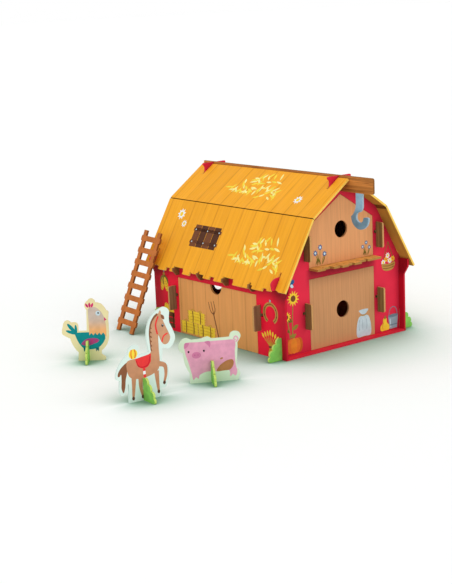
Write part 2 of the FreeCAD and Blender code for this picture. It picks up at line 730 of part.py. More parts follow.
def make_ladder():
    """A ladder cut from one board, with a rung leaning on the rear gable's left eave ear."""
    outer = (p.ladder_rail_spacing + p.ladder_rail_width) / 2
    inner = (p.ladder_rail_spacing - p.ladder_rail_width) / 2
    tip = outer + p.ladder_rung_overhang
    low = p.ladder_first_rung
    high = low + p.ladder_rung_height
    rungs_length = p.ladder_rung_pitch * (RUNGS - 1)
    length = high + rungs_length + p.ladder_top_reach
    rails = mirrored([(inner, low), (inner, 0), (outer, 0), (outer, length), (inner, length), (inner, high)])
    ladder = cut_board("ladder", rails)
    rung = add_board(ladder, "ladder_rung", mirrored([(tip, low, RUNG_END_BULGE_SHARE), (tip, high)]))
    rungs = ladder.newObject("PartDesign::LinearPattern", "ladder_rungs")
    rungs.Originals = [rung]
    rungs.Direction = (rung.Profile[0], ["V_Axis"])
    rungs.Occurrences = RUNGS
    rungs.setExpression("Length", rungs_length.text)
    ladder.Tip = rungs

    turn = math.radians(LADDER_TURN)
    lean = math.radians(LADDER_LEAN)
    across = Vector(-math.sin(turn), -math.cos(turn), 0)
    inward = Vector(math.cos(turn), -math.sin(turn), 0)
    up = inward * math.sin(lean) + Z * math.cos(lean)
    rest_up = high + p.ladder_rung_pitch * RUNG_AT_EAR
    rest_across = inner - half_board - p.ladder_side_gap
    ear_rise = (rest_up * math.cos(lean) - eave_ear_low) / p.eave_ear_rise
    rest_x = -eave_ear_half_span - p.board * EAVE_EAR_SLOPE_SHARE * ear_rise - p.swing_gap
    base = (
        rest_x - rest_across * across.x - rest_up * up.x,
        gable_middle - rest_across * across.y - rest_up * up.y,
        0,
    )
    place(ladder, base, across, up)


def make_animal(name, shares, slot_share, length, height, crossing, turn):
    """A figure and its bush-shaped stand, halved over each other."""
    slot_half = half_board + p.fit_gap / 2
    lap = p.stand_lap + p.fit_gap / 2
    slot = length * slot_share
    figure = [(length * along - slot, height * up, bulge) for along, up, bulge in shares]
    figure[1:1] = [(-slot_half, 0), (-slot_half, lap), (slot_half, lap), (slot_half, 0)]
    angle = math.radians(turn)
    along = Vector(math.cos(angle), math.sin(angle), 0)
    facing = along.cross(Z)
    corner = [crossing[0] - half_board * facing.x, crossing[1] - half_board * facing.y, 0]
    place(cut_board(f"{name}_figure", figure), corner, along, Z)

    half_length = p.stand_length / 2
    edge = [(slot_half + (half_length - slot_half) * out, p.stand_height * up) for out, up in BUSH_SHARES]
    stand = [*scalloped(edge), (slot_half, p.stand_height), (slot_half, p.stand_lap)]
    corner = [crossing[0] + half_board * along.x, crossing[1] + half_board * along.y, 0]
    place(cut_board(f"{name}_stand", mirrored(stand)), corner, facing, Z)


def make_animals():
    hen = (-p.hen_left, p.hen_back)
    horse = (-p.horse_left, -p.horse_front)
    pig = (-p.pig_left, -p.pig_front)
    make_animal("hen", HEN_SHARES, HEN_SLOT_SHARE, p.hen_length, p.hen_height, hen, HEN_TURN)
    make_animal("horse", HORSE_SHARES, HORSE_SLOT_SHARE, p.horse_length, p.horse_height, horse, HORSE_TURN)
    make_animal("pig", PIG_SHARES, PIG_SLOT_SHARE, p.pig_length, p.pig_height, pig, PIG_TURN)


def check_and_export():
    """Stops on any failed object, then writes each piece to its own file."""
    doc.recompute()
    failed = [item.Name for item in doc.Objects if {"Invalid", "Error"} & set(item.State)]
    bodies = [item for item in doc.Objects if item.TypeId == "PartDesign::Body"]
    for body in bodies:
        shape = body.Shape
        if shape.isNull() or not shape.isValid() or len(shape.Solids) != 1:
            failed.append(body.Label)
    if failed:
        raise RuntimeError(f"failed: {failed}")
    os.makedirs("parts", exist_ok=True)
    for body in bodies:
        body.Shape.exportStep(f"parts/{body.Label}.step")
    print(len(bodies), "pieces written")


make_floor()
make_walls()
make_gables()
make_loft_floor()
make_joists()
make_beam()
make_roof()
make_side_doors()
make_gable_doors()
make_latches()
make_ladder()
make_animals()
check_and_export()
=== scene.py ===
"""Looks of the cardboard toy farm: printed board, studio light and the photo's camera."""
import math

import bmesh
import bpy
from mathutils import Matrix, Vector


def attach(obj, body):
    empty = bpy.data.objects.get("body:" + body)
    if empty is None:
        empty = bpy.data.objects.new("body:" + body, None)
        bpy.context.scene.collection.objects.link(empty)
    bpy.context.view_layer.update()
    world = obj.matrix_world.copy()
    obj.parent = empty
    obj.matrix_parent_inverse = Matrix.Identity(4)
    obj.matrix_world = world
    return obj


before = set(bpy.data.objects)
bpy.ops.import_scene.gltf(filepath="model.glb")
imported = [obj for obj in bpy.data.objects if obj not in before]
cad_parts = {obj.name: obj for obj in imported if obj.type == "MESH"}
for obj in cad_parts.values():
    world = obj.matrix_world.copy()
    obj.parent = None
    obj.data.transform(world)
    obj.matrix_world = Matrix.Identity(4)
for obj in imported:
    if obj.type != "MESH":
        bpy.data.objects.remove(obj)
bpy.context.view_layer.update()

# Lengths are metres. Shapes of prints are written in millimetres.
MM = 0.001
X, Y, Z = Vector((1, 0, 0)), Vector((0, 1, 0)), Vector((0, 0, 1))

# The barn's main planes, as in the part's source
BOARD = 3 * MM
WALL_INNER = 112 * MM
LEDGE_UNDER = 116 * MM
BEAM_BOTTOM = 218.3 * MM
HOOK_BOWL_TOP = 188 * MM
RIDGE_HEIGHT = 239.5 * MM
FOLD_HALF_SPAN = 70 * MM
FOLD_HEIGHT = 191 * MM
EAVE_HALF_SPAN = 123.5 * MM
EAVE_HEIGHT = 99 * MM
ROOF_HALF = 161 * MM
BUSH_HEIGHT = 31 * MM
JOISTS = 4
# The roof's halves, and the way from the middle to each
HALVES = (("left", -1), ("right", 1))


def rgb(red, green, blue):
    """A screen colour of 0 to 255 as the linear colour that shaders take."""
    linear = []
    for value in (red, green, blue):
        share = value / 255
        linear.append(share / 12.92 if share <= 0.04045 else ((share + 0.055) / 1.055) ** 2.4)
    return (*linear, 1.0)


def shade(colour, factor):
    return (*(min(1.0, value * factor) for value in colour[:3]), 1.0)


# Board colours
ROOF_YELLOW = rgb(255, 173, 40)
ROOF_EDGE = rgb(250, 204, 92)
ROOF_UNDER = rgb(192, 142, 60)
# The crease colour: partly a printed crease line, partly painted shade in the roof's fold
ROOF_CREASE = rgb(104, 68, 22)
WALL_RED = rgb(254, 26, 58)
GABLE_RED = rgb(230, 42, 70)
BASE_RED = rgb(226, 34, 58)
SIDE_DOOR_TAN = rgb(236, 162, 94)
# The loft doors' tan is the lower doors' tan made lighter: painted light on the higher doors, painted shade
# on the lower ones
GABLE_DOOR_TAN = rgb(208, 149, 102)
LOFT_DOOR_TAN = rgb(228, 161, 108)
WALL_LATCH_BROWN = rgb(146, 110, 80)
GABLE_LATCH_BROWN = rgb(136, 110, 66)
LATCH_EDGE = rgb(206, 154, 96)
JOIST_BROWN = rgb(124, 82, 46)
BEAM_BROWN = rgb(196, 124, 58)
BEAM_STREAK = rgb(128, 70, 26)
HOOK_GREY = rgb(116, 150, 170)
HOOK_PALE = rgb(150, 190, 214)
# The hook's cut edges are paler than its print: a painted highlight
HOOK_EDGE = rgb(160, 182, 196)
LEDGE_BROWN = rgb(240, 174, 90)
LADDER_BROWN = rgb(196, 112, 50)
BUSH_GREEN = rgb(136, 202, 92)
BUSH_EDGE = rgb(196, 220, 110)
HEN_BOARD = rgb(238, 224, 172)
HORSE_BOARD = rgb(222, 238, 230)
PIG_BOARD = rgb(216, 232, 204)

# Cut edges, and the deep painted shade, made from the printed colour
# The wall's darker cut edge: partly the board's own edge, partly painted shade at the corners
WALL_EDGE = shade(WALL_RED, 0.6)
WALL_GLOOM = shade(WALL_RED, 0.3)
GABLE_EDGE = shade(GABLE_RED, 0.9)
GABLE_GLOOM = shade(GABLE_RED, 0.25)
# The ledge's darker cut edge: partly the board's own edge, partly painted shade on its front edge
LEDGE_EDGE = shade(LEDGE_BROWN, 0.5)
JOIST_EDGE = shade(JOIST_BROWN, 1.5)
# The beam's darker cut edge: partly the board's own edge, partly painted shade between the roof panels
BEAM_EDGE = shade(BEAM_BROWN, 0.5)
LADDER_EDGE = shade(LADDER_BROWN, 0.5)
DOOR_EDGE_SHARE = 0.85
DOOR_GLOOM_SHARE = 0.5
FIGURE_EDGE_SHARE = 0.94

# Printed planks: the axis across them, their spacing, and the joints' colour, start, strength and width
ROOF_JOINTS = {"across": Y, "spacing": 28 * MM, "start": 13 * MM}
ROOF_PLANKS = {**ROOF_JOINTS, "line_colour": rgb(168, 94, 18), "strength": 0.6, "width": 0.9 * MM}
ROOF_UNDER_PLANKS = {**ROOF_JOINTS, "line_colour": rgb(140, 92, 34)}
LOFT_PLANKS = {"across": X, "spacing": 24 * MM, "line_colour": rgb(150, 90, 30)}
SIDE_DOOR_PLANKS = {"across": Y, "spacing": 30 * MM, "start": -4 * MM, "line_colour": rgb(140, 82, 36),
                    "strength": 0.45}
GABLE_DOOR_PLANKS = {"across": X, "spacing": 9 * MM, "line_colour": rgb(150, 92, 52), "strength": 0.16,
                     "width": 0.8 * MM}
PLANK_WAVER = 2.5 * MM
PLANK_WAVER_FINENESS = 14
PLANK_FADE_FINENESS = 30
PLANK_FADE = (0.25, 0.6, 0.4, 1.0)
PLANK_TINT_SHARE = 0.16
SOFT_JOINT_WIDTH_SHARE = 3
SOFT_JOINT_STRENGTH_SHARE = 0.35

# Wood grain: its fineness along x, y and z, and how far it darkens the colour
ROOF_GRAIN = {"stretch": (14, 420, 14), "depth": 0.09}
LOFT_GRAIN = {"stretch": (220, 10, 10)}
JOIST_GRAIN = {"stretch": (12, 12, 260)}
BEAM_GRAIN = {"stretch": (40, 9, 330), "depth": 0.42}
BEAM_STREAK_STRETCH = (40, 16, 260)
SIDE_DOOR_GRAIN = {"stretch": (14, 240, 14), "depth": 0.07}
GABLE_DOOR_GRAIN = {"stretch": (460, 14, 14), "depth": 0.08}
LATCH_GRAIN = {"stretch": (300, 300, 12), "depth": 0.3}
LADDER_GRAIN = {"stretch": (90, 90, 90), "depth": 0.14}
GRAIN_LIGHT_SHARE = 0.6
GRAIN_BAND = (0.3, 0.72)
BEAM_STREAK_BAND = (0.58, 0.66, 0.0, 0.7)

# Uneven print: its fineness, and how far it darkens and lightens the colour
WALL_MOTTLE = {"scale": 16, "depth": 0.07}
GABLE_MOTTLE = {"scale": 16}
FOOT_MOTTLE = {"scale": 90, "depth": 0.12}
BUSH_MOTTLE = {"scale": 110, "depth": 0.14}
HOOK_MOTTLE = {"scale": 90, "depth": 0.16}
STRAP_MOTTLE = {"scale": 90, "depth": 0.1}
FIGURE_MOTTLE = {"scale": 40, "depth": 0.03}
INK_MOTTLE = {"scale": 130, "depth": 0.07}

# The board's finish: fibres, fuzzy cut edges and uneven gloss
FIBRE_FINENESS = 900
FIBRE_HEIGHT = 0.12 * MM
FIBRE_STRENGTH = 0.35
FUZZ_FINENESS = 700
FUZZ_DARK, FUZZ_LIGHT = 0.9, 1.06
ROUGHNESS_FINENESS = 60
ROUGHNESS_LOW, ROUGHNESS_HIGH = 0.55, 0.67
BOARD_SPECULAR = 0.12
# Most noise lies between these
NOISE_LOW, NOISE_HIGH = 0.3, 0.7

# How squarely a face looks along an axis to count as printed, as an end or as the top side
PRINTED_FACING = (0.85, 0.95)
END_FACING = (0.3, 0.6, 1.0, 0.0)
TOP_FACING = (-0.1, 0.1)

# Where one print gives way to another: start, stop, and the share at each
FOLD_BAND = (2.5 * MM, 3.5 * MM, 1.0, 0.0)
BUSH_SIDE = (WALL_INNER - 0.2 * MM, WALL_INNER)
BUSH_TOP = (BUSH_HEIGHT + 1 * MM, BUSH_HEIGHT + 1.4 * MM, 1.0, 0.0)
STRAP_START = (HOOK_BOWL_TOP, HOOK_BOWL_TOP + 12 * MM)
HOOK_TOP = (BEAM_BOTTOM - 0.3 * MM, BEAM_BOTTOM, 1.0, 0.0)

# Soft painted shade, written in the same way
EAVE_SHADE = (74 * MM, 94 * MM, 0.0, 0.5)
WALL_END_SHADE = (110 * MM, 148 * MM, 0.0, 0.65)
LEDGE_SHADE = (LEDGE_UNDER - 30 * MM, LEDGE_UNDER - 4 * MM, 0.0, 0.6)
LEDGE_SHADE_TOP = (LEDGE_UNDER, LEDGE_UNDER + 1 * MM, 1.0, 0.0)
LEDGE_SHADE_SIDE = (58 * MM, 70 * MM, 1.0, 0.0)
NOOK_REACH = 40 * MM
NOOK_SHADE = (0.25, 0.95, 0.6, 0.0)


# Scene and node helpers

def link(item):
    """Puts an object into the scene."""
    bpy.context.scene.collection.objects.link(item)


class Tree:
    """Short names for the nodes of one material."""

    def __init__(self, name):
        self.material = bpy.data.materials.new(name)
        self.material.use_nodes = True
        self.nodes = self.material.node_tree.nodes
        self.links = self.material.node_tree.links
        self.shader = self.nodes["Principled BSDF"]
        place = self.nodes.new("ShaderNodeTexCoord")
        self.spot = place.outputs["Object"]
        self.normal = place.outputs["Normal"]

    def feed(self, socket, value):
        if isinstance(value, bpy.types.NodeSocket):
            self.links.new(value, socket)
        else:
            socket.default_value = value

    def maths(self, operation, first, second=0.0):
        node = self.nodes.new("ShaderNodeMath")
        node.operation = operation
        self.feed(node.inputs[0], first)
        self.feed(node.inputs[1], second)
        return node.outputs[0]

    def dot(self, first, second):
        node = self.nodes.new("ShaderNodeVectorMath")
        node.operation = "DOT_PRODUCT"
        self.feed(node.inputs[0], first)
        self.feed(node.inputs[1], second)
        return node.outputs["Value"]

    def height(self):
        return self.dot(self.spot, Z)

    def off_middle(self, axis):
        """How far a spot lies from the barn's middle, along an axis."""
        return self.maths("ABSOLUTE", self.dot(self.spot, axis))

    def scaled(self, vector, factors):
        node = self.nodes.new("ShaderNodeVectorMath")
        node.operation = "MULTIPLY"
        self.feed(node.inputs[0], vector)
        self.feed(node.inputs[1], factors)
        return node.outputs["Vector"]

    def mix(self, share, first, second):
        node = self.nodes.new("ShaderNodeMix")
        node.data_type = "RGBA"
        self.feed(node.inputs["Factor"], share)
        self.feed(node.inputs[6], first)
        self.feed(node.inputs[7], second)
        return node.outputs[2]

    def noise(self, vector, scale, detail=2.0):
        node = self.nodes.new("ShaderNodeTexNoise")
        self.feed(node.inputs["Vector"], vector)
        node.inputs["Scale"].default_value = scale
        node.inputs["Detail"].default_value = detail
        return node.outputs["Fac"]

    def ramp(self, value, start, stop, low=0.0, high=1.0):
        """Runs smoothly from low to high while the value runs from start to stop."""
        node = self.nodes.new("ShaderNodeMapRange")
        node.interpolation_type = "SMOOTHSTEP"
        self.feed(node.inputs["Value"], value)
        node.inputs["From Min"].default_value = start
        node.inputs["From Max"].default_value = stop
        node.inputs["To Min"].default_value = low
        node.inputs["To Max"].default_value = high
        return node.outputs["Result"]

    def open_sky(self, distance):
        """1 in the open, less in nooks and under overhangs."""
        node = self.nodes.new("ShaderNodeAmbientOcclusion")
        node.inputs["Distance"].default_value = distance
        return node.outputs["AO"]

    def bump(self, height, distance, strength):
        node = self.nodes.new("ShaderNodeBump")
        self.feed(node.inputs["Height"], height)
        node.inputs["Distance"].default_value = distance
        node.inputs["Strength"].default_value = strength
        self.links.new(node.outputs["Normal"], self.shader.inputs["Normal"])


def mottled(tree, colour, scale=22, depth=0.06):
    """A colour with the soft unevenness of print."""
    cloud = tree.ramp(tree.noise(tree.spot, scale, detail=3), NOISE_LOW, NOISE_HIGH)
    return tree.mix(cloud, shade(colour, 1 - depth), shade(colour, 1 + depth))


def faces(tree, axis):
    """1 on the board's printed faces, 0 on its cut edges."""
    return tree.ramp(tree.maths("ABSOLUTE", tree.dot(tree.normal, axis)), *PRINTED_FACING)


def grained(tree, colour, stretch, depth=0.16):
    """Wood grain print. The stretch gives its fineness along each axis."""
    streak = tree.ramp(tree.noise(tree.scaled(tree.spot, stretch), 1.0, detail=4), *GRAIN_BAND)
    return tree.mix(streak, shade(colour, 1 - depth), shade(colour, 1 + depth * GRAIN_LIGHT_SHARE))


def plank_lines(tree, colour, across, spacing, line_colour, start=0.0, strength=0.5, width=1.2 * MM):
    """Printed plank joints: soft lines across one axis, each plank a little lighter or darker."""
    waver = tree.maths("MULTIPLY", tree.noise(tree.spot, PLANK_WAVER_FINENESS, detail=1), PLANK_WAVER)
    place = tree.maths("ADD", tree.dot(tree.spot, across), waver)
    count = tree.maths("DIVIDE", tree.maths("SUBTRACT", place, start), spacing)
    near = tree.maths("MULTIPLY", tree.maths("PINGPONG", count, 0.5), spacing)
    tint = tree.nodes.new("ShaderNodeTexWhiteNoise")
    tint.noise_dimensions = "1D"
    tree.feed(tint.inputs["W"], tree.maths("FLOOR", count))
    tinted = tree.maths("MULTIPLY", tint.outputs["Value"], strength * PLANK_TINT_SHARE)
    planks = tree.mix(tinted, colour, line_colour)
    faded = tree.ramp(tree.noise(tree.spot, PLANK_FADE_FINENESS, detail=1), *PLANK_FADE)
    soft = tree.ramp(near, 0.0, width * SOFT_JOINT_WIDTH_SHARE, strength * SOFT_JOINT_STRENGTH_SHARE, 0.0)
    sharp = tree.ramp(near, 0.0, width, strength, 0.0)
    joint = tree.maths("MULTIPLY", tree.maths("MAXIMUM", soft, sharp), faded)
    return tree.mix(joint, planks, line_colour)


def finish_board(tree, colour):
    """Paper-covered board: matte, with a fine fibre bump and uneven gloss."""
    tree.feed(tree.shader.inputs["Base Color"], colour)
    cloud = tree.noise(tree.spot, ROUGHNESS_FINENESS)
    rough = tree.ramp(cloud, NOISE_LOW, NOISE_HIGH, ROUGHNESS_LOW, ROUGHNESS_HIGH)
    tree.feed(tree.shader.inputs["Roughness"], rough)
    tree.shader.inputs["Specular IOR Level"].default_value = BOARD_SPECULAR
    tree.bump(tree.noise(tree.spot, FIBRE_FINENESS, detail=3), FIBRE_HEIGHT, FIBRE_STRENGTH)
    return tree.material


def edged(tree, axis, face, edge):
    """Printed faces with cut edges, which show a little fibre."""
    fuzz = tree.ramp(tree.noise(tree.spot, FUZZ_FINENESS), NOISE_LOW, NOISE_HIGH)
    cut = tree.mix(fuzz, shade(edge, FUZZ_DARK), shade(edge, FUZZ_LIGHT))
    return tree.mix(faces(tree, axis), cut, face)


# Materials of the barn

def fold_edge(tree, outward):
    """1 on the edges where the upper and lower roof panels meet, 0 elsewhere."""
    away = tree.maths("ABSOLUTE", tree.maths("SUBTRACT", tree.height(), FOLD_HEIGHT))
    near = tree.ramp(away, *FOLD_BAND)
    end = tree.ramp(tree.maths("ABSOLUTE", tree.dot(tree.normal, Y)), *END_FACING)
    cut = tree.ramp(faces(tree, outward), 0.0, 1.0, 1.0, 0.0)
    return tree.maths("MULTIPLY", tree.maths("MULTIPLY", near, end), cut)


def roof_material(name, outward):
    tree = Tree(name)
    planks = plank_lines(tree, grained(tree, ROOF_YELLOW, **ROOF_GRAIN), **ROOF_PLANKS)
    under = plank_lines(tree, mottled(tree, ROOF_UNDER), **ROOF_UNDER_PLANKS)
    top_side = tree.ramp(tree.dot(tree.normal, outward), *TOP_FACING)
    board = edged(tree, outward, tree.mix(top_side, under, planks), ROOF_EDGE)
    # The fold's cut edges take the crease colour: partly a printed crease line, partly painted shade in the
    # groove
    return finish_board(tree, tree.mix(fold_edge(tree, outward), board, ROOF_CREASE))


def wall_material():
    """Red print with painted shade under the eave and towards the ends."""
    tree = Tree("wall_board")
    under_eave = tree.ramp(tree.height(), *EAVE_SHADE)
    near_end = tree.ramp(tree.off_middle(Y), *WALL_END_SHADE)
    gloom = tree.maths("ADD", under_eave, near_end)
    face = tree.mix(gloom, mottled(tree, WALL_RED, **WALL_MOTTLE), WALL_GLOOM)
    return finish_board(tree, edged(tree, X, face, WALL_EDGE))


def under_ledge(tree):
    """The ledge's soft shade on the board below it: most just under the ledge, 0 in the open."""
    near = tree.ramp(tree.height(), *LEDGE_SHADE)
    below = tree.ramp(tree.height(), *LEDGE_SHADE_TOP)
    across = tree.ramp(tree.off_middle(X), *LEDGE_SHADE_SIDE)
    return tree.maths("MULTIPLY", tree.maths("MULTIPLY", near, below), across)


def gable_material():
    """Red gable, whose feet beyond the walls are cut and printed as green bushes."""
    tree = Tree("gable_board")
    # Painted shade: the red darkens in nooks, under the roof's overhang and just under the ledge
    nook = tree.ramp(tree.open_sky(NOOK_REACH), *NOOK_SHADE)
    gloom = tree.maths("ADD", nook, under_ledge(tree))
    sheltered = tree.mix(gloom, mottled(tree, GABLE_RED, **GABLE_MOTTLE), GABLE_GLOOM)
    red = edged(tree, Y, sheltered, GABLE_EDGE)
    green = edged(tree, Y, mottled(tree, BUSH_GREEN, **FOOT_MOTTLE), BUSH_EDGE)
    outside = tree.ramp(tree.off_middle(X), *BUSH_SIDE)
    low = tree.ramp(tree.height(), *BUSH_TOP)
    return finish_board(tree, tree.mix(tree.maths("MULTIPLY", outside, low), red, green))


def base_material():
    tree = Tree("base_board")
    return finish_board(tree, edged(tree, Z, mottled(tree, BASE_RED), BASE_RED))


def loft_material():
    tree = Tree("loft_board")
    planks = plank_lines(tree, grained(tree, LEDGE_BROWN, **LOFT_GRAIN), **LOFT_PLANKS)
    return finish_board(tree, edged(tree, Z, planks, LEDGE_EDGE))


def joist_material():
    tree = Tree("joist_board")
    return finish_board(tree, edged(tree, Y, grained(tree, JOIST_BROWN, **JOIST_GRAIN), JOIST_EDGE))


def beam_material():
    """Wood-grained ridge board. The hook below it is printed as grey iron, paler on its strap."""
    tree = Tree("beam_board")
    streak = tree.noise(tree.scaled(tree.spot, BEAM_STREAK_STRETCH), 1.0, detail=5)
    dark = tree.ramp(streak, *BEAM_STREAK_BAND)
    grain = tree.mix(dark, grained(tree, BEAM_BROWN, **BEAM_GRAIN), BEAM_STREAK)
    wood = edged(tree, X, grain, BEAM_EDGE)
    bowl = mottled(tree, HOOK_GREY, **HOOK_MOTTLE)
    strap = mottled(tree, HOOK_PALE, **STRAP_MOTTLE)
    on_strap = tree.ramp(tree.height(), *STRAP_START)
    # Painted highlight: the hook's cut edges take the paler edge grey
    iron = edged(tree, X, tree.mix(on_strap, bowl, strap), HOOK_EDGE)
    below = tree.ramp(tree.height(), *HOOK_TOP)
    return finish_board(tree, tree.mix(below, wood, iron))


def side_door_material():
    tree = Tree("side_door_board")
    planks = plank_lines(tree, grained(tree, SIDE_DOOR_TAN, **SIDE_DOOR_GRAIN), **SIDE_DOOR_PLANKS)
    return finish_board(tree, edged(tree, X, planks, shade(SIDE_DOOR_TAN, DOOR_EDGE_SHARE)))


def gable_door_material(name, colour):
    tree = Tree(name)
    planks = plank_lines(tree, grained(tree, colour, **GABLE_DOOR_GRAIN), **GABLE_DOOR_PLANKS)
    # Painted shade of the ledge on the top of the lower doors
    face = tree.mix(under_ledge(tree), planks, shade(colour, DOOR_GLOOM_SHARE))
    return finish_board(tree, edged(tree, Y, face, shade(colour, DOOR_EDGE_SHARE)))


def latch_material(name, colour, axis):
    tree = Tree(name)
    return finish_board(tree, edged(tree, axis, grained(tree, colour, **LATCH_GRAIN), LATCH_EDGE))


# Materials of the loose pieces and of the inks

def ladder_material(outward):
    tree = Tree("ladder_board")
    grain = grained(tree, LADDER_BROWN, **LADDER_GRAIN)
    return finish_board(tree, edged(tree, outward, grain, LADDER_EDGE))


def figure_material(name, colour, facing):
    tree = Tree(name)
    face = mottled(tree, colour, **FIGURE_MOTTLE)
    return finish_board(tree, edged(tree, facing, face, shade(colour, FIGURE_EDGE_SHARE)))


def bush_material(name, facing):
    tree = Tree(name)
    leaves = mottled(tree, BUSH_GREEN, **BUSH_MOTTLE)
    return finish_board(tree, edged(tree, facing, leaves, BUSH_EDGE))


def print_material(name, colour):
    """Printing ink: brushed unevenness in one colour."""
    tree = Tree(name)
    return finish_board(tree, mottled(tree, colour, **INK_MOTTLE))


def dress(material, *nodes):
    """Gives CAD nodes their material."""
    for name in nodes:
        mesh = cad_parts[name].data
        mesh.materials.clear()
        mesh.materials.append(material)


# Where the loose pieces stand, as in the part's source. An animal's slot is a share of its length.
LADDER_LEAN = math.radians(22.2)
LADDER_TURN = math.radians(5)
ANIMALS = {
    "hen": {"at": (-297.2, 59.8), "turn": -40, "length": 66, "slot": 0.53, "board": HEN_BOARD},
    "horse": {"at": (-353.0, -152.1), "turn": -5, "length": 87, "slot": 0.445, "board": HORSE_BOARD},
    "pig": {"at": (-244.4, -151.5), "turn": -29, "length": 81, "slot": 0.518, "board": PIG_BOARD},
}


def along_board(animal):
    """The way along an animal's board, from its left end to its right end."""
    turn = math.radians(animal["turn"])
    return Vector((math.cos(turn), math.sin(turn), 0))


def dress_barn():
    lower_slope = Vector((FOLD_HEIGHT - EAVE_HEIGHT, 0, EAVE_HALF_SPAN - FOLD_HALF_SPAN)).normalized()
    upper_slope = Vector((RIDGE_HEIGHT - FOLD_HEIGHT, 0, FOLD_HALF_SPAN)).normalized()
    for side, sign in HALVES:
        for level, slope in (("upper", upper_slope), ("lower", lower_slope)):
            outward = Vector((slope.x * sign, 0, slope.z))
            dress(roof_material(f"roof_{side}_{level}", outward), f"{side}_roof_{level}")
    dress(wall_material(), "left_wall", "right_wall")
    dress(gable_material(), "front_gable", "rear_gable")
    dress(base_material(), "floor_panel")
    dress(loft_material(), "loft_floor")
    dress(joist_material(), *(f"cross_joist_{number}" for number in range(1, JOISTS + 1)))
    dress(beam_material(), "ridge_beam")
    dress(side_door_material(), "left_side_door", "right_side_door")
    dress(gable_door_material("gable_door_board", GABLE_DOOR_TAN), "front_door", "rear_door")
    dress(gable_door_material("loft_door_board", LOFT_DOOR_TAN), "front_loft_door", "rear_loft_door")
    wall_latch = latch_material("wall_latch_board", WALL_LATCH_BROWN, Y)
    gable_latch = latch_material("gable_latch_board", GABLE_LATCH_BROWN, X)
    for side in ("left", "right"):
        for end in ("front", "rear"):
            dress(wall_latch, f"{side}_wall_{end}_latch")
            dress(gable_latch, f"{end}_door_{side}_latch", f"{end}_loft_{side}_latch")


def dress_loose_pieces():
    across = Vector((-math.sin(LADDER_TURN), -math.cos(LADDER_TURN), 0))
    inward = Vector((math.cos(LADDER_TURN), -math.sin(LADDER_TURN), 0))
    up = inward * math.sin(LADDER_LEAN) + Z * math.cos(LADDER_LEAN)
    dress(ladder_material(across.cross(up)), "ladder")
    for name, animal in ANIMALS.items():
        along = along_board(animal)
        dress(figure_material(f"{name}_board", animal["board"], along.cross(Z)), f"{name}_figure")
        dress(bush_material(f"{name}_bush", along), f"{name}_stand")


# Prints: flat shapes of ink, a little proud of the board. Their outlines are millimetres on the face,
# to the right and up as one looks at it.

# The lowest ink's height over the board, the step to the next, and how deep inks are rooted
PRINT_LIFT = 0.05 * MM
PRINT_STEP = 0.03 * MM
PRINT_ROOT = 0.03 * MM
TOP_LAYER = 8
# How far the paper under a roof fold reaches from it, and how thick it is
FOLD_REACH = 4 * MM
FOLD_PAPER = 0.25 * MM
# How many straight stretches stand for each round one
CURVE_STEPS = 5
PETAL_STEPS = 4
OVAL_STEPS = 24
LEAF_STEPS = 8
GOLDEN_ANGLE = 137.5

INKS = {
    "teal": rgb(10, 138, 142),
    "teal_dark": rgb(6, 106, 116),
    "plum": rgb(172, 74, 128),
    "magenta": rgb(214, 44, 112),
    "sky": rgb(206, 224, 232),
    "night": rgb(52, 42, 46),
    "horse_dark": rgb(138, 88, 60),
    "hoof": rgb(96, 62, 48),
    "saddle": rgb(234, 58, 58),
    "saddle_trim": rgb(204, 34, 48),
    "straw": rgb(246, 218, 70),
    "orange": rgb(232, 132, 40),
    "pig_pink": rgb(230, 160, 186),
    "pig_dark": rgb(212, 126, 164),
    "pig_deep": rgb(196, 104, 146),
    "mud": rgb(180, 120, 74),
    "sun": rgb(250, 206, 56),
    "sun_dark": rgb(216, 154, 34),
    "pumpkin": rgb(230, 118, 42),
    "pumpkin_dark": rgb(204, 92, 30),
    "olive": rgb(150, 130, 52),
    "olive_dark": rgb(116, 104, 40),
    "bark": rgb(120, 70, 42),
    "bark_dark": rgb(86, 48, 30),
    "tan": rgb(190, 142, 70),
    "gold": rgb(210, 156, 52),
    "blue": rgb(44, 96, 152),
    "white": rgb(240, 244, 246),
    "sack": rgb(200, 212, 220),
    "sack_dark": rgb(160, 174, 186),
    "tin": rgb(150, 166, 178),
    "tin_dark": rgb(112, 128, 142),
    "cream": rgb(252, 238, 150),
}
# Inks that run from one colour below to another above, between two heights
BLENDED_INKS = {
    "hen_neck": (rgb(244, 178, 112), rgb(206, 186, 172), 38 * MM, 62 * MM),
    "horse_brown": (rgb(198, 138, 102), rgb(204, 154, 118), 20 * MM, 90 * MM),
}


def curve(points, closed=False, steps=CURVE_STEPS):
    """A smooth line through the points."""
    count = len(points)
    line = []
    for i in range(count if closed else count - 1):
        places = [i - 1, i, i + 1, i + 2]
        if closed:
            places = [place % count for place in places]
        else:
            places = [min(max(place, 0), count - 1) for place in places]
        before, start, stop, after = (Vector(points[place]) for place in places)
        for step in range(steps):
            t = step / steps
            bend = (2 * before - 5 * start + 4 * stop - after) * t * t
            turn = (3 * start - before - 3 * stop + after) * t * t * t
            line.append(tuple((2 * start + (stop - before) * t + bend + turn) / 2))
    return line if closed else line + [tuple(points[-1])]


def blob(*points):
    return curve(points, closed=True)


def moved(outline, x, y, turn=0, size=1):
    cosine, sine = math.cos(math.radians(turn)) * size, math.sin(math.radians(turn)) * size
    return [(x + a * cosine - b * sine, y + a * sine + b * cosine) for a, b in outline]


def placed(shapes, x, y, turn=0, size=1):
    """A motif set down on a face."""
    return [(ink, moved(outline, x, y, turn, size)) for ink, outline in shapes]


def arranged(*motifs):
    """Several motifs on one face, each with its place and, where it has them, its turn and size."""
    return [shape for motif, *place in motifs for shape in placed(motif, *place)]


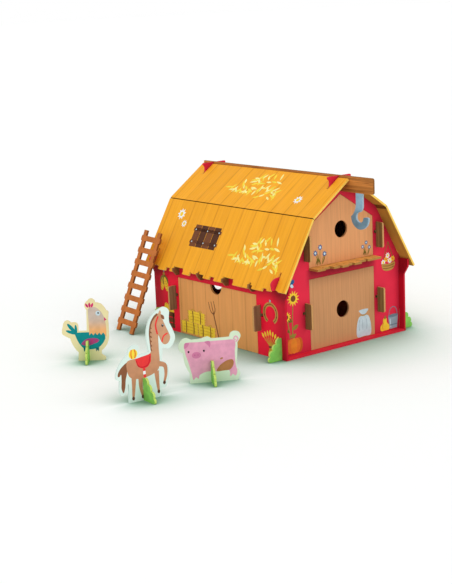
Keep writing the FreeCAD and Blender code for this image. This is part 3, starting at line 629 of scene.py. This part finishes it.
def stroke(points, width, tip=None):
    """A band along a smooth line, which may narrow or widen to its tip."""
    line = [Vector(point) for point in curve(points)]
    last = len(line) - 1
    tip = width if tip is None else tip
    left, right = [], []
    for i, spot in enumerate(line):
        run = (line[min(i + 1, last)] - line[max(i - 1, 0)]).normalized()
        half = Vector((-run.y, run.x)) * (width + (tip - width) * i / last) / 2
        left.append(tuple(spot + half))
        right.append(tuple(spot - half))
    return left + right[::-1]


def oval(x, y, half_wide, half_high, turn=0):
    angles = [2 * math.pi * step / OVAL_STEPS for step in range(OVAL_STEPS)]
    return moved([(half_wide * math.cos(a), half_high * math.sin(a)) for a in angles], x, y, turn)


def leaf(x, y, length, width, turn):
    """A pointed leaf that starts at a spot and runs the way it is turned."""
    shares = [step / LEAF_STEPS for step in range(LEAF_STEPS + 1)]
    edge = [(length * share, width / 2 * math.sin(math.pi * share)) for share in shares]
    return moved(edge + [(a, -b) for a, b in reversed(edge[1:-1])], x, y, turn)


def bloom(x, y, inner, outer, petals):
    """A flower's outline, with round petals."""
    points = []
    for i in range(petals * 2):
        reach = (inner, outer)[i % 2]
        angle = math.pi * i / petals
        points.append((reach * math.cos(angle), reach * math.sin(angle)))
    return moved(curve(points, closed=True, steps=PETAL_STEPS), x, y)


def bar(left, low, right, high):
    return [(left, low), (right, low), (right, high), (left, high)]


# Farm motifs. Each starts from its foot or its middle.

def flower(radius, petals=9, ink="sun", middle="bark"):
    head = bloom(0, 0, radius * 0.62, radius, petals)
    return [(ink, head), (middle, oval(0, 0, radius * 0.4, radius * 0.4))]


def sunflower(height, radius, lean):
    head = (lean, height)
    shapes = [("olive", stroke([(0, 0), (lean * 0.2, height * 0.5), head], 1.8, 1.4))]
    shapes += [("olive", leaf(lean * 0.1, height * 0.3, radius * 1.1, radius * 0.55, 28))]
    shapes += [("olive_dark", leaf(lean * 0.15, height * 0.48, radius * 1.1, radius * 0.55, 150))]
    return shapes + placed(flower(radius, 13), *head)


def pumpkin():
    shapes = [("olive", stroke([(0, 20), (0.6, 24), (4, 27)], 3.6, 2.4))]
    for x, half_wide, ink in ((10, 6, "pumpkin_dark"), (5, 7, "pumpkin")):
        for side in (-1, 1):
            shapes.append((ink, oval(side * x, 11, half_wide, 10.5)))
    return shapes + [("orange", oval(0, 11, 5.5, 11))]


def corn_cob(turn):
    """An ear of corn hung by its husk."""
    shapes = [("olive", leaf(0, 0, 17, 7, -112)), ("olive_dark", leaf(0, 0, 17, 7, -68))]
    shapes.append(("sun", oval(0, -15, 4.4, 11)))
    for row in range(4):
        y = -10 - row * 4
        shapes.append(("sun_dark", stroke([(-3, y), (0, y - 1), (3, y)], 0.7)))
    return placed(shapes, 0, 0, turn)


def hung_corn():
    shapes = corn_cob(-16) + corn_cob(16)
    return shapes + [("tan", oval(0, 1, 3, 2.2)), ("tin", oval(0, 5, 1.4, 1.4))]


def fruit_crate():
    shapes = []
    for x, y in ((-9, 26), (0, 27), (9, 26), (-4.5, 32), (4.5, 32)):
        shapes.append(("sun", oval(x, y, 4.8, 4.8)))
        shapes.append(("sun_dark", stroke([(x - 1, y + 3.4), (x + 1.5, y + 4)], 0.9)))
    for low in (0, 8.5, 17):
        shapes.append(("bark", bar(-15, low, 15, low + 7)))
    for x in (-13, 10):
        shapes.append(("bark_dark", bar(x, 0, x + 3, 24)))
    return shapes


def horseshoe():
    radius = 13

    def on_bend(degrees):
        angle = math.radians(degrees)
        return radius * math.sin(angle), radius * math.cos(angle)

    bend = [on_bend(degrees) for degrees in range(-150, 151, 25)]
    shapes = [("tan", stroke(bend, 5.5)), ("bark", stroke(bend, 1.2))]
    for degrees in (-105, -60, 60, 105):
        shapes.append(("bark_dark", oval(*on_bend(degrees), 1.0, 1.0)))
    return shapes + [("tin", oval(0, radius + 4.4, 1.8, 1.8))]


def wheat_sheaf():
    shapes = []
    for i in range(-3, 4):
        top = (i * 4.2, 26 - abs(i) * 1.6)
        shapes.append(("gold", stroke([(-i * 1.6, 0), (0, 10), top], 1.5, 1.2)))
        shapes.append(("sun", leaf(*top, 9, 3.6, 90 - i * 12)))
    return shapes + [("bark", bar(-3.4, 9, 3.4, 11.6))]


def butterfly():
    shapes = []
    for side in (-1, 1):
        shapes.append(("blue", oval(side * 4.2, 2.6, 4.4, 3.2, side * 35)))
        shapes.append(("sky", oval(side * 3.4, -2.6, 3.2, 2.3, -side * 35)))
    return shapes + [("night", stroke([(0, -4.5), (0, 4.5)], 1.2))]


def flower_basket():
    """A hanging basket of daisies."""
    shapes = [("olive_dark", stroke([(-12, 0), (0, 30)], 1)), ("olive_dark", stroke([(12, 0), (0, 30)], 1))]
    for i, (x, y) in enumerate(((-10, 1), (-4, 5), (3, 2), (9, 4), (-1, 10))):
        shapes += placed(flower(4.6, 8, ("white", "sun")[i % 2], ("sun", "orange")[i % 2]), x, y)
    shapes.append(("tan", blob((-13, -1), (0, -2.5), (13, -1), (10, -10), (0, -12.5), (-10, -10))))
    for drop in (4.5, 8):
        shapes.append(("bark", stroke([(-11.5, -drop + 0.6), (0, -drop - 1), (11.5, -drop + 0.6)], 0.9)))
    return shapes


def pail():
    shapes = [("tin_dark", stroke([(-9, 19), (-6, 29), (0, 32), (6, 29), (9, 19)], 1.2))]
    shapes += [("tin", [(-7.5, 0), (7.5, 0), (10, 19), (-10, 19)]), ("tin_dark", oval(0, 19, 10, 2.4))]
    return shapes + [("tin_dark", bar(-8.2, 5, 8.2, 6.4)), ("sky", stroke([(-5, 2), (-6.4, 15)], 1.6))]


def squash():
    body = blob((-8, 0), (0, -0.4), (8, 0), (9, 6), (4, 11), (3, 17), (-3, 17), (-4, 11), (-9, 6))
    stalk = stroke([(0, 16.5), (1.5, 21)], 2.4)
    rib = stroke([(-4, 2), (-5, 7), (-2, 12)], 1.2)
    return [("sun", body), ("olive", stalk), ("orange", rib)]


def grass(blades, ink="gold"):
    shapes = []
    for i in range(blades):
        x = i * 3.2 - blades * 1.6
        shapes.append((ink, leaf(x, 0, 11 + 3 * (i % 3), 1.8, 66 + 16 * (i % 4))))
    return shapes


def sack():
    bag = blob((-13, 0), (0, -0.4), (13, 0), (14, 14), (10, 27), (4, 31), (9, 38), (-9, 38), (-4, 31),
               (-10, 27), (-14, 14))
    shapes = [("sack", bag)]
    for x in (-8, -2, 5):
        shapes.append(("sack_dark", stroke([(x, 24), (x * 1.2, 17), (x * 1.1, 9)], 0.9)))
    return shapes + [("tan", stroke([(-4.6, 31), (0, 30), (4.6, 31)], 2.2))]


def straw_bale():
    """A bound bale of straw, with loose ends."""
    half, high = 19, 17
    shapes = []
    for i in range(9):
        shapes.append(("gold", leaf(-half + 4 + 3.6 * i, high - 1, 5.5, 1.6, 40 + 25 * (i % 5))))
    for side in (-1, 1):
        for i in range(4):
            turn = 90 - side * (66 + 14 * (i % 2))
            shapes.append(("gold", leaf(side * (half - 2), 3 + 4 * i, 6, 1.8, turn)))
    shapes.append(("sun", bar(-half, 0, half, high)))
    for y in (4, 8.5, 13):
        shapes.append(("sun_dark", stroke([(4 - half, y), (0, y + 0.8), (half - 4, y)], 0.7)))
    for x in (-9, 9):
        shapes.append(("bark", stroke([(x, 0), (x + 0.8, high / 2), (x, high)], 2)))
    return shapes


def straw_stack():
    """One bale on two."""
    return arranged((straw_bale(), -20, 0), (straw_bale(), 20, 0), (straw_bale(), -3, 17.6))


def hay_fork():
    shapes = [("bark", stroke([(0, 0), (0, 40)], 2.2))]
    return shapes + [("bark", stroke([(0, 38), (x, 44), (x * 1.1, 57)], 1.8, 1)) for x in (-5.5, 0, 5.5)]


def cornflowers():
    shapes = []
    for x, height, lean in ((-4, 17, -4), (0, 24, 1), (4, 14, 5)):
        shapes.append(("olive", stroke([(x, 0), (x + lean * 0.3, height * 0.5), (x + lean, height)], 1.1)))
        shapes += placed(flower(4.4, 7, "blue", "sky"), x + lean, height)
    return shapes + grass(5, "olive_dark")


def strewn_leaves(count, spread):
    """Pale leaves blown over the roof, each placed a golden angle on from the last."""
    shapes = []
    for i in range(count):
        reach = spread * math.sqrt((i + 0.5) / count)
        spot = math.radians(i * GOLDEN_ANGLE)
        x, y = 1.5 * reach * math.cos(spot), 0.62 * reach * math.sin(spot)
        shapes.append((("cream", "straw")[i % 2], leaf(x, y, 11 + 2 * (i % 4), 3.4, i * GOLDEN_ANGLE * 0.6)))
    return shapes


def roof_hatch():
    """Brown boards with two battens and pale nail heads."""
    shapes = []
    for i in range(4):
        shapes.append((("bark", "bark_dark")[i % 2], bar(-30 + i * 15, 0, -15.6 + i * 15, 34)))
    for low in (5, 24):
        shapes.append(("bark", bar(-32, low, 32, low + 5)))
        for x in (-27, 0, 27):
            shapes.append(("sky", oval(x, low + 2.5, 1.1, 1.1)))
    return shapes


# The animals' prints, from the lower left corner of each figure's board

def hen_print():
    neck = curve([(61.5, 34), (62, 48), (60, 60), (56, 69), (49, 75.5), (42, 76), (38, 73)])
    jags = [(38 + i * 2.75, (36, 39.5)[i % 2]) for i in range(9)]
    belly = curve([(60, 31), (56, 24), (49, 18), (38, 16), (29, 18), (22, 27), (17, 40.5)])
    shapes = [("hen_neck", [(38, 34), *neck]), ("teal", [(17, 40.5), (38, 40.5), *jags, *belly[:-1]])]
    tail_feathers = ((14, 46.4, 9, 2.6, 129), (12.6, 41.2, 7.2, 2.1, 160), (19.8, 45, 6.6, 1.7, 92))
    for x, y, half_long, half_wide, turn in tail_feathers:
        shapes.append(("teal", oval(x, y, half_long, half_wide, turn)))
    foot = [(-2.4, 18.5), (-1.8, 12.5), (0, 15), (1.8, 12.5), (2.4, 18.5)]
    for x in (31, 48):
        shapes.append(("teal_dark", moved(foot, x, 0)))
    wing = blob((26, 24), (33, 30.5), (44, 32), (51, 29.5), (49, 26), (45, 24.5), (40, 22.5), (33, 21.5))
    shapes.append(("plum", wing))
    for x in (34, 40, 46):
        shapes.append(("magenta", stroke([(x, 29.5), (x + 2, 27.5), (x, 25.5)], 0.9)))
    for x, turn in ((39, 122), (40.8, 92), (42.6, 66)):
        shapes.append(("magenta", leaf(x, 75, 7.8, 3.2, turn)))
    beak = [(59.6, 61.5), (63.2, 57.5), (59.8, 56)]
    shapes += [("sky", oval(51.7, 67, 3.4, 3.4)), ("night", oval(52.1, 67.4, 1.2, 1.2))]
    return shapes + [("magenta", beak)]


def horse_tack():
    """Saddle, girth and bridle."""
    saddle = [(28, 54.6), (51, 57.6), *curve([(50.4, 48), (45, 41.6), (36, 41.4), (30, 47)])]
    hem = stroke([(29.6, 52), (32.4, 44.6), (39.4, 42.4), (46.6, 45), (49.4, 55)], 1.4)
    girth = stroke([(40, 41.5), (40.8, 28.6)], 3.4)
    buckle = bar(38.4, 33, 42, 37.2)
    cheek_strap = stroke([(64, 103), (59.8, 92.5), (61.8, 80.4)], 2.2)
    nose_band = stroke([(76.4, 79.4), (70.4, 76.6), (67.6, 69.6)], 2)
    shapes = [("saddle", saddle), ("saddle_trim", hem), ("saddle", girth), ("white", buckle)]
    return shapes + [("saddle", cheek_strap), ("saddle", nose_band)]


def striped_ball():
    shapes = [("straw", oval(0, 0, 6.2, 6.2))]
    for x, bend in ((-2, -1), (2.2, 1)):
        shapes.append(("orange", stroke([(x, -5.6), (x + bend, 0), (x, 5.6)], 1.8)))
    return shapes


def horse_print():
    brown, dark = "horse_brown", "horse_dark"
    tail = blob((17, 52), (9, 48), (4, 42.5), (2.4, 37.4), (4.8, 36.2), (7.4, 38.6), (7.4, 30), (6.8, 21),
                (9.2, 14.6), (12, 21), (13.4, 31), (16, 40))
    body = blob((15.6, 44), (16, 52), (20, 54.6), (30, 55), (44, 56.4), (51, 60), (50, 72), (49.8, 84),
                (52, 95), (56.5, 102), (63, 106.5), (68.4, 105.4), (70.6, 97.4), (74, 89), (77.4, 81.5),
                (80, 73.4), (76.4, 66.8), (70.6, 66), (66.6, 70.6), (63, 78.6), (62.6, 62), (63, 46),
                (60.5, 36), (52, 31), (39, 28.6), (26, 29.6), (18.6, 34))
    mane = stroke([(51.6, 61), (50.8, 74), (50.6, 84), (53, 95), (57.5, 102), (63, 106)], 1.2, 3)
    ear, forelock = leaf(66.4, 103.5, 7, 3.4, 84), leaf(68, 105, 9, 4, -58)
    hind_legs = [((25, 33), (24, 19), (22.8, 6)), ((34.5, 31), (34.2, 18), (36.4, 6))]
    fore_legs = [((57.6, 34), (58.4, 20), (59.4, 8)), ((60, 43), (69.8, 39), (71, 28), (68.2, 18))]
    shapes = [(dark, tail)]
    for leg in hind_legs + fore_legs:
        foot_x, foot_y = leg[-1]
        shapes.append((brown, stroke(leg, 7, 3)))
        shapes.append(("hoof", oval(foot_x, foot_y - 1, 2, 2.4)))
    shapes += [(brown, body), (dark, mane)]
    shapes += [(dark, leaf(50.8, 64 + 5.5 * i, 4.4, 1.9, -62 + 4 * i)) for i in range(6)]
    shapes += [(brown, ear), (dark, forelock)] + horse_tack() + placed(striped_ball(), 25.6, 61.4)
    return shapes + [("night", oval(69.8, 90.4, 1.6, 1.8)), ("white", oval(70.3, 91.1, 0.6, 0.6))]


def pig_print():
    pink, dark = "pig_pink", "pig_dark"
    tail = stroke([(74.5, 51), (77.5, 55), (74.5, 58.5), (72, 55.5), (74.5, 53.5)], 1.6)
    body = blob((8.5, 54), (8, 42), (12, 27), (15.5, 12), (17, 5), (20.5, 8), (24, 6), (26, 11), (36, 14.5),
                (50, 13.5), (64, 14), (65.5, 6), (69, 8.5), (72.5, 6), (75, 12), (73, 22), (72.6, 38),
                (73, 53), (58, 54.5), (40, 54.5), (24, 54.5))
    left_ear = blob((7, 47), (8, 54.2), (13.4, 54.2), (11.6, 49.8))
    right_ear = blob((33.6, 54.2), (40.8, 54.4), (40.4, 46.4), (37.4, 50))
    mud_patch = blob((48, 14), (57, 14), (66, 15), (70.5, 22), (69, 28), (61, 27), (52, 21))
    shapes = [(pink, tail), (pink, body), (dark, left_ear), (dark, right_ear)]
    for x in (12.4, 32.4):
        shapes.append(("night", oval(x, 42.5, 1.3, 1.5)))
    shapes.append((dark, oval(22.4, 37.4, 6, 4.4)))
    for x in (20.2, 24.6):
        shapes.append(("pig_deep", oval(x, 37.6, 0.8, 1.1)))
    return shapes + [("mud", mud_patch), ("mud", oval(55, 30.5, 2, 1.2, 20))]


# Laying the inks on the boards

class Face:
    """A flat outer face of a CAD node, with its directions to the right and up."""

    def __init__(self, node, right, up, zero=(0, 0, 0)):
        self.right, self.up = right, up
        self.outward = right.cross(up)
        skin = max(self.outward.dot(vertex.co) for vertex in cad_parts[node].data.vertices)
        zero = Vector(zero)
        self.origin = self.outward * skin + right * right.dot(zero) + up * up.dot(zero)

    def point(self, spot, lift):
        return self.origin + self.right * (spot[0] * MM) + self.up * (spot[1] * MM) + self.outward * lift


def extent(outline):
    return [(min(axis), max(axis)) for axis in zip(*outline)]


def inside(spot, outline):
    """Whether a line from the spot to the right crosses the outline an odd number of times."""
    x, y = spot
    odd = False
    for (ax, ay), (bx, by) in zip(outline, outline[1:] + outline[:1]):
        if (ay > y) != (by > y) and x < ax + (bx - ax) * (y - ay) / (by - ay):
            odd = not odd
    return odd


def overlap(first, second):
    apart = any(a[0] > b[1] or b[0] > a[1] for a, b in zip(extent(first), extent(second)))
    if apart:
        return False
    return any(inside(spot, second) for spot in first) or any(inside(spot, first) for spot in second)


def layers(shapes):
    """The layer of each shape: one above the highest that it covers."""
    laid = []
    for ink, outline in shapes:
        below = [layer for other, layer in laid if overlap(outline, other)]
        laid.append((outline, min(max(below, default=-1) + 1, TOP_LAYER)))
    return [layer for outline, layer in laid]


def anticlockwise(outline):
    turned = sum(a[0] * b[1] - b[0] * a[1] for a, b in zip(outline, outline[1:] + outline[:1]))
    return outline if turned > 0 else outline[::-1]


def add_shape(mesh, face, outline, lift, slot):
    """One closed shape of ink, rooted just under the board's face."""
    outline = anticlockwise(outline)
    top = [mesh.verts.new(face.point(spot, lift)) for spot in outline]
    root = [mesh.verts.new(face.point(spot, -PRINT_ROOT)) for spot in outline]
    rim = list(zip(top, root))
    made = [mesh.faces.new(top), mesh.faces.new(root[::-1])]
    for (high, low), (next_high, next_low) in zip(rim, rim[1:] + rim[:1]):
        made.append(mesh.faces.new((high, low, next_low, next_high)))
    for side in made:
        side.material_index = slot


def ink_material(ink):
    name = f"ink_{ink}"
    if name in bpy.data.materials:
        return bpy.data.materials[name]
    if ink in BLENDED_INKS:
        low, high, start, stop = BLENDED_INKS[ink]
        tree = Tree(name)
        rise = tree.ramp(tree.height(), start, stop)
        low_ink = mottled(tree, low, INK_MOTTLE["scale"])
        high_ink = mottled(tree, high, INK_MOTTLE["scale"])
        return finish_board(tree, tree.mix(rise, low_ink, high_ink))
    return print_material(name, INKS[ink])


def add_print(name, face, body, shapes):
    """All the ink on one face, as one piece on that face's body."""
    inks = sorted({ink for ink, outline in shapes})
    mesh = bmesh.new()
    for (ink, outline), layer in zip(shapes, layers(shapes)):
        add_shape(mesh, face, outline, PRINT_LIFT + PRINT_STEP * layer, inks.index(ink))
    mesh.normal_update()
    bmesh.ops.triangulate(mesh, faces=mesh.faces, ngon_method="EAR_CLIP")
    data = bpy.data.meshes.new(name)
    mesh.to_mesh(data)
    mesh.free()
    for ink in inks:
        data.materials.append(ink_material(ink))
    piece = bpy.data.objects.new(name, data)
    link(piece)
    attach(piece, body)


def print_walls():
    """The long walls and their doors. Places are towards the front gable and up."""
    for side, right, front in (("left", -Y, 1), ("right", Y, -1)):
        wall = arranged(
            (horseshoe(), 119 * front, 62),
            (wheat_sheaf(), 117 * front, 4),
            (fruit_crate(), -118 * front, 4),
            (hung_corn(), -125 * front, 84),
        )
        add_print(f"{side}_wall_print", Face(f"{side}_wall", right, Z), "barn", wall)
        door = f"{side}_side_door"
        straw = arranged((straw_stack(), -46 * front, 3), (hay_fork(), 3 * front, 4, 16 * front))
        add_print(f"{door}_print", Face(door, right, Z), door, straw)


def print_gables():
    """The gables and their doors. Places are to the right of the middle and up."""
    for end, right in (("front", X), ("rear", -X)):
        gable = arranged(
            (sunflower(62, 11, 3), -95, 20),
            (sunflower(42, 8, -6), -99, 16),
            (pumpkin(), -93, 5),
            (butterfly(), -97, 102),
            (flower_basket(), 91, 104),
            (grass(9), 90, 4),
            (pail(), 99, 5),
            (squash(), 82, 5),
        )
        add_print(f"{end}_gable_print", Face(f"{end}_gable", right, Z), "barn", gable)
        door, loft = f"{end}_door", f"{end}_loft_door"
        add_print(f"{door}_print", Face(door, right, Z), door, placed(sack(), 40, 5))
        bunches = arranged((cornflowers(), -41, 121), (cornflowers(), 47, 121, 0, 0.75))
        add_print(f"{loft}_print", Face(loft, right, Z), loft, bunches)


def roof_corners(sign):
    """Eave, fold and ridge of one half of the roof, at the middle of its length."""
    eave = Vector((EAVE_HALF_SPAN * sign, 0, EAVE_HEIGHT))
    fold = Vector((FOLD_HALF_SPAN * sign, 0, FOLD_HEIGHT))
    return eave, fold, Vector((0, 0, RIDGE_HEIGHT))


def daisy(radius):
    return flower(radius, 9, "white", "sun")


def print_roof():
    """The roof panels. Places are towards the front gable and up the slope from the panel's lower edge."""
    for side, sign in HALVES:
        front, right = -sign, Y * sign
        eave, fold, ridge = roof_corners(sign)
        lower = Face(f"{side}_roof_lower", right, (fold - eave).normalized(), eave)
        shapes = arranged(
            (roof_hatch(), -44 * front, 38),
            (strewn_leaves(60, 34), 84 * front, 42),
            (daisy(9), -118 * front, 84),
            (daisy(6), -104 * front, 70),
        )
        add_print(f"{side}_roof_lower_print", lower, "barn", shapes)
        upper = Face(f"{side}_roof_upper", right, (ridge - fold).normalized(), fold)
        shapes = arranged((strewn_leaves(60, 36), 6 * front, 44), (daisy(8), 104 * front, 30))
        add_print(f"{side}_roof_upper_print", upper, "barn", shapes)


def print_animals():
    drawn = {"hen": hen_print(), "horse": horse_print(), "pig": pig_print()}
    for name, animal in ANIMALS.items():
        along = along_board(animal)
        crossing = Vector((*animal["at"], 0)) * MM
        shapes = placed(drawn[name], -animal["slot"] * animal["length"], 0)
        mirrored = [(ink, [(-x, y) for x, y in outline]) for ink, outline in shapes]
        figure, slot = f"{name}_figure", f"{name}_print"
        add_print(f"{name}_front_print", Face(figure, along, Z, crossing), name, shapes)
        add_print(f"{name}_back_print", Face(figure, -along, Z, crossing), name, mirrored)


def add_roof_folds():
    """The paper that carries the roof over its folds: a thin bent strip under each pair of panels."""
    # The strip's crease colour: partly a printed crease line, partly painted shade in the groove
    paper = print_material("fold_paper", ROOF_CREASE)
    for side, sign in HALVES:
        eave, fold, ridge = roof_corners(sign)
        to_ridge = (ridge - fold).normalized()
        to_eave = (eave - fold).normalized()
        inward = (to_ridge + to_eave).normalized()
        lean = math.sin(inward.angle(to_eave))
        outer = fold + inward * (BOARD / lean)
        inner = fold + inward * ((BOARD + FOLD_PAPER) / lean)
        section = [outer + to_ridge * FOLD_REACH, outer, outer + to_eave * FOLD_REACH]
        section += [inner + to_eave * FOLD_REACH, inner, inner + to_ridge * FOLD_REACH]
        corners = [spot + Y * end for end in (-ROOF_HALF, ROOF_HALF) for spot in section]
        count = len(section)
        sides = [(i, (i + 1) % count, (i + 1) % count + count, i + count) for i in range(count)]
        # Each end is two quads, one for each arm of the bent strip
        ends = [(0, 5, 4, 1), (1, 4, 3, 2), (6, 7, 10, 11), (7, 8, 9, 10)]
        data = bpy.data.meshes.new(f"{side}_roof_fold")
        data.from_pydata(corners, [], sides + ends)
        mesh = bmesh.new()
        mesh.from_mesh(data)
        bmesh.ops.recalc_face_normals(mesh, faces=mesh.faces)
        mesh.to_mesh(data)
        mesh.free()
        data.materials.append(paper)
        strip = bpy.data.objects.new(f"{side}_roof_fold", data)
        link(strip)
        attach(strip, "barn")


# Stage: floor, light and camera

FLOOR_HALF = 30.0
FLOOR_WHITES = (rgb(253, 254, 253), rgb(254, 255, 254))
FLOOR_CLOUD_SCALE = 3.0
FLOOR_ROUGHNESS = 0.9
FLOOR_SPECULAR = 0.1
# The wide painted shade and the near painted shadow around what stands on the floor: colour, reach and band
FLOOR_WIDE_SHADE, WIDE_SHADE_REACH, WIDE_SHADE_BAND = rgb(221, 242, 234), 260 * MM, (0.65, 0.95)
FLOOR_SHADE, SHADE_REACH, SHADE_BAND = rgb(134, 168, 148), 110 * MM, (0.35, 1.0)
DOME_COLOUR = (0.985, 1.0, 0.99, 1.0)
DOME_STRENGTH = 0.95
KEY_STRENGTH = 0.35
KEY_SPREAD = math.radians(60)
KEY_DIRECTION = Vector((-0.25, 0.75, -1.0))
CAMERA_AZIMUTH = math.radians(-38.15)
CAMERA_ELEVATION = math.radians(12.38)
CAMERA_ROLL = math.radians(-2.51)
CAMERA_TARGET = Vector((-96.71, 0, 71.72)) * MM
CAMERA_DISTANCE = 1938.96 * MM
CAMERA_FAR = 100
SENSOR_WIDTH = 36
# The photo's focal length and longer side, in its pixels
PHOTO_FOCAL = 1350
PHOTO_HEIGHT = 584


def make_floor():
    mesh = bpy.data.meshes.new("studio_floor")
    corners = [(x * FLOOR_HALF, y * FLOOR_HALF, 0) for x, y in ((-1, -1), (1, -1), (1, 1), (-1, 1))]
    mesh.from_pydata(corners, [], [(0, 1, 2, 3)])
    floor = bpy.data.objects.new("studio_floor", mesh)
    link(floor)
    tree = Tree("studio_floor")
    white = tree.mix(tree.noise(tree.spot, FLOOR_CLOUD_SCALE), *FLOOR_WHITES)
    # Painted shadow: the floor darkens and turns greener where what stands on it hides the sky
    tinted = tree.mix(tree.ramp(tree.open_sky(WIDE_SHADE_REACH), *WIDE_SHADE_BAND), FLOOR_WIDE_SHADE, white)
    shaded = tree.mix(tree.ramp(tree.open_sky(SHADE_REACH), *SHADE_BAND), FLOOR_SHADE, tinted)
    tree.feed(tree.shader.inputs["Base Color"], shaded)
    tree.shader.inputs["Roughness"].default_value = FLOOR_ROUGHNESS
    tree.shader.inputs["Specular IOR Level"].default_value = FLOOR_SPECULAR
    mesh.materials.append(tree.material)


def make_world():
    """White dome. The camera sees it as plain white behind the floor."""
    world = bpy.data.worlds.new("studio")
    bpy.context.scene.world = world
    world.use_nodes = True
    nodes = world.node_tree.nodes
    links = world.node_tree.links
    dome = nodes["Background"]
    dome.inputs["Color"].default_value = DOME_COLOUR
    dome.inputs["Strength"].default_value = DOME_STRENGTH
    seen = nodes.new("ShaderNodeBackground")
    seen.inputs["Color"].default_value = (1, 1, 1, 1)
    path = nodes.new("ShaderNodeLightPath")
    choice = nodes.new("ShaderNodeMixShader")
    links.new(path.outputs["Is Camera Ray"], choice.inputs["Fac"])
    links.new(dome.outputs["Background"], choice.inputs[1])
    links.new(seen.outputs["Background"], choice.inputs[2])
    links.new(choice.outputs["Shader"], nodes["World Output"].inputs["Surface"])


def make_sun():
    """A broad soft key light from the upper right of the photo's view."""
    data = bpy.data.lights.new("key", "SUN")
    data.energy = KEY_STRENGTH
    data.angle = KEY_SPREAD
    sun = bpy.data.objects.new("key", data)
    sun.rotation_mode = "QUATERNION"
    sun.rotation_quaternion = KEY_DIRECTION.to_track_quat("-Z", "Y")
    link(sun)


def make_camera():
    """The photo's view, fitted to the barn's corners."""
    level = Vector((math.cos(CAMERA_AZIMUTH), math.sin(CAMERA_AZIMUTH), 0))
    backward = Vector((math.sin(CAMERA_AZIMUTH), -math.cos(CAMERA_AZIMUTH), 0))
    back = backward * math.cos(CAMERA_ELEVATION) + Z * math.sin(CAMERA_ELEVATION)
    upright = back.cross(level)
    right = level * math.cos(CAMERA_ROLL) + upright * math.sin(CAMERA_ROLL)
    up = upright * math.cos(CAMERA_ROLL) - level * math.sin(CAMERA_ROLL)
    data = bpy.data.cameras.new("photo_view")
    data.sensor_width = SENSOR_WIDTH
    data.lens = PHOTO_FOCAL / PHOTO_HEIGHT * SENSOR_WIDTH
    data.clip_end = CAMERA_FAR
    camera = bpy.data.objects.new("photo_view", data)
    turn = Matrix((right, up, back)).transposed()
    place = Matrix.Translation(CAMERA_TARGET + back * CAMERA_DISTANCE)
    camera.matrix_world = place @ turn.to_4x4()
    link(camera)
    bpy.context.scene.camera = camera


def make_stage():
    make_floor()
    make_world()
    make_sun()
    make_camera()
    bpy.context.scene.view_settings.view_transform = "Standard"


dress_barn()
dress_loose_pieces()
print_walls()
print_gables()
print_roof()
print_animals()
add_roof_folds()
make_stage()
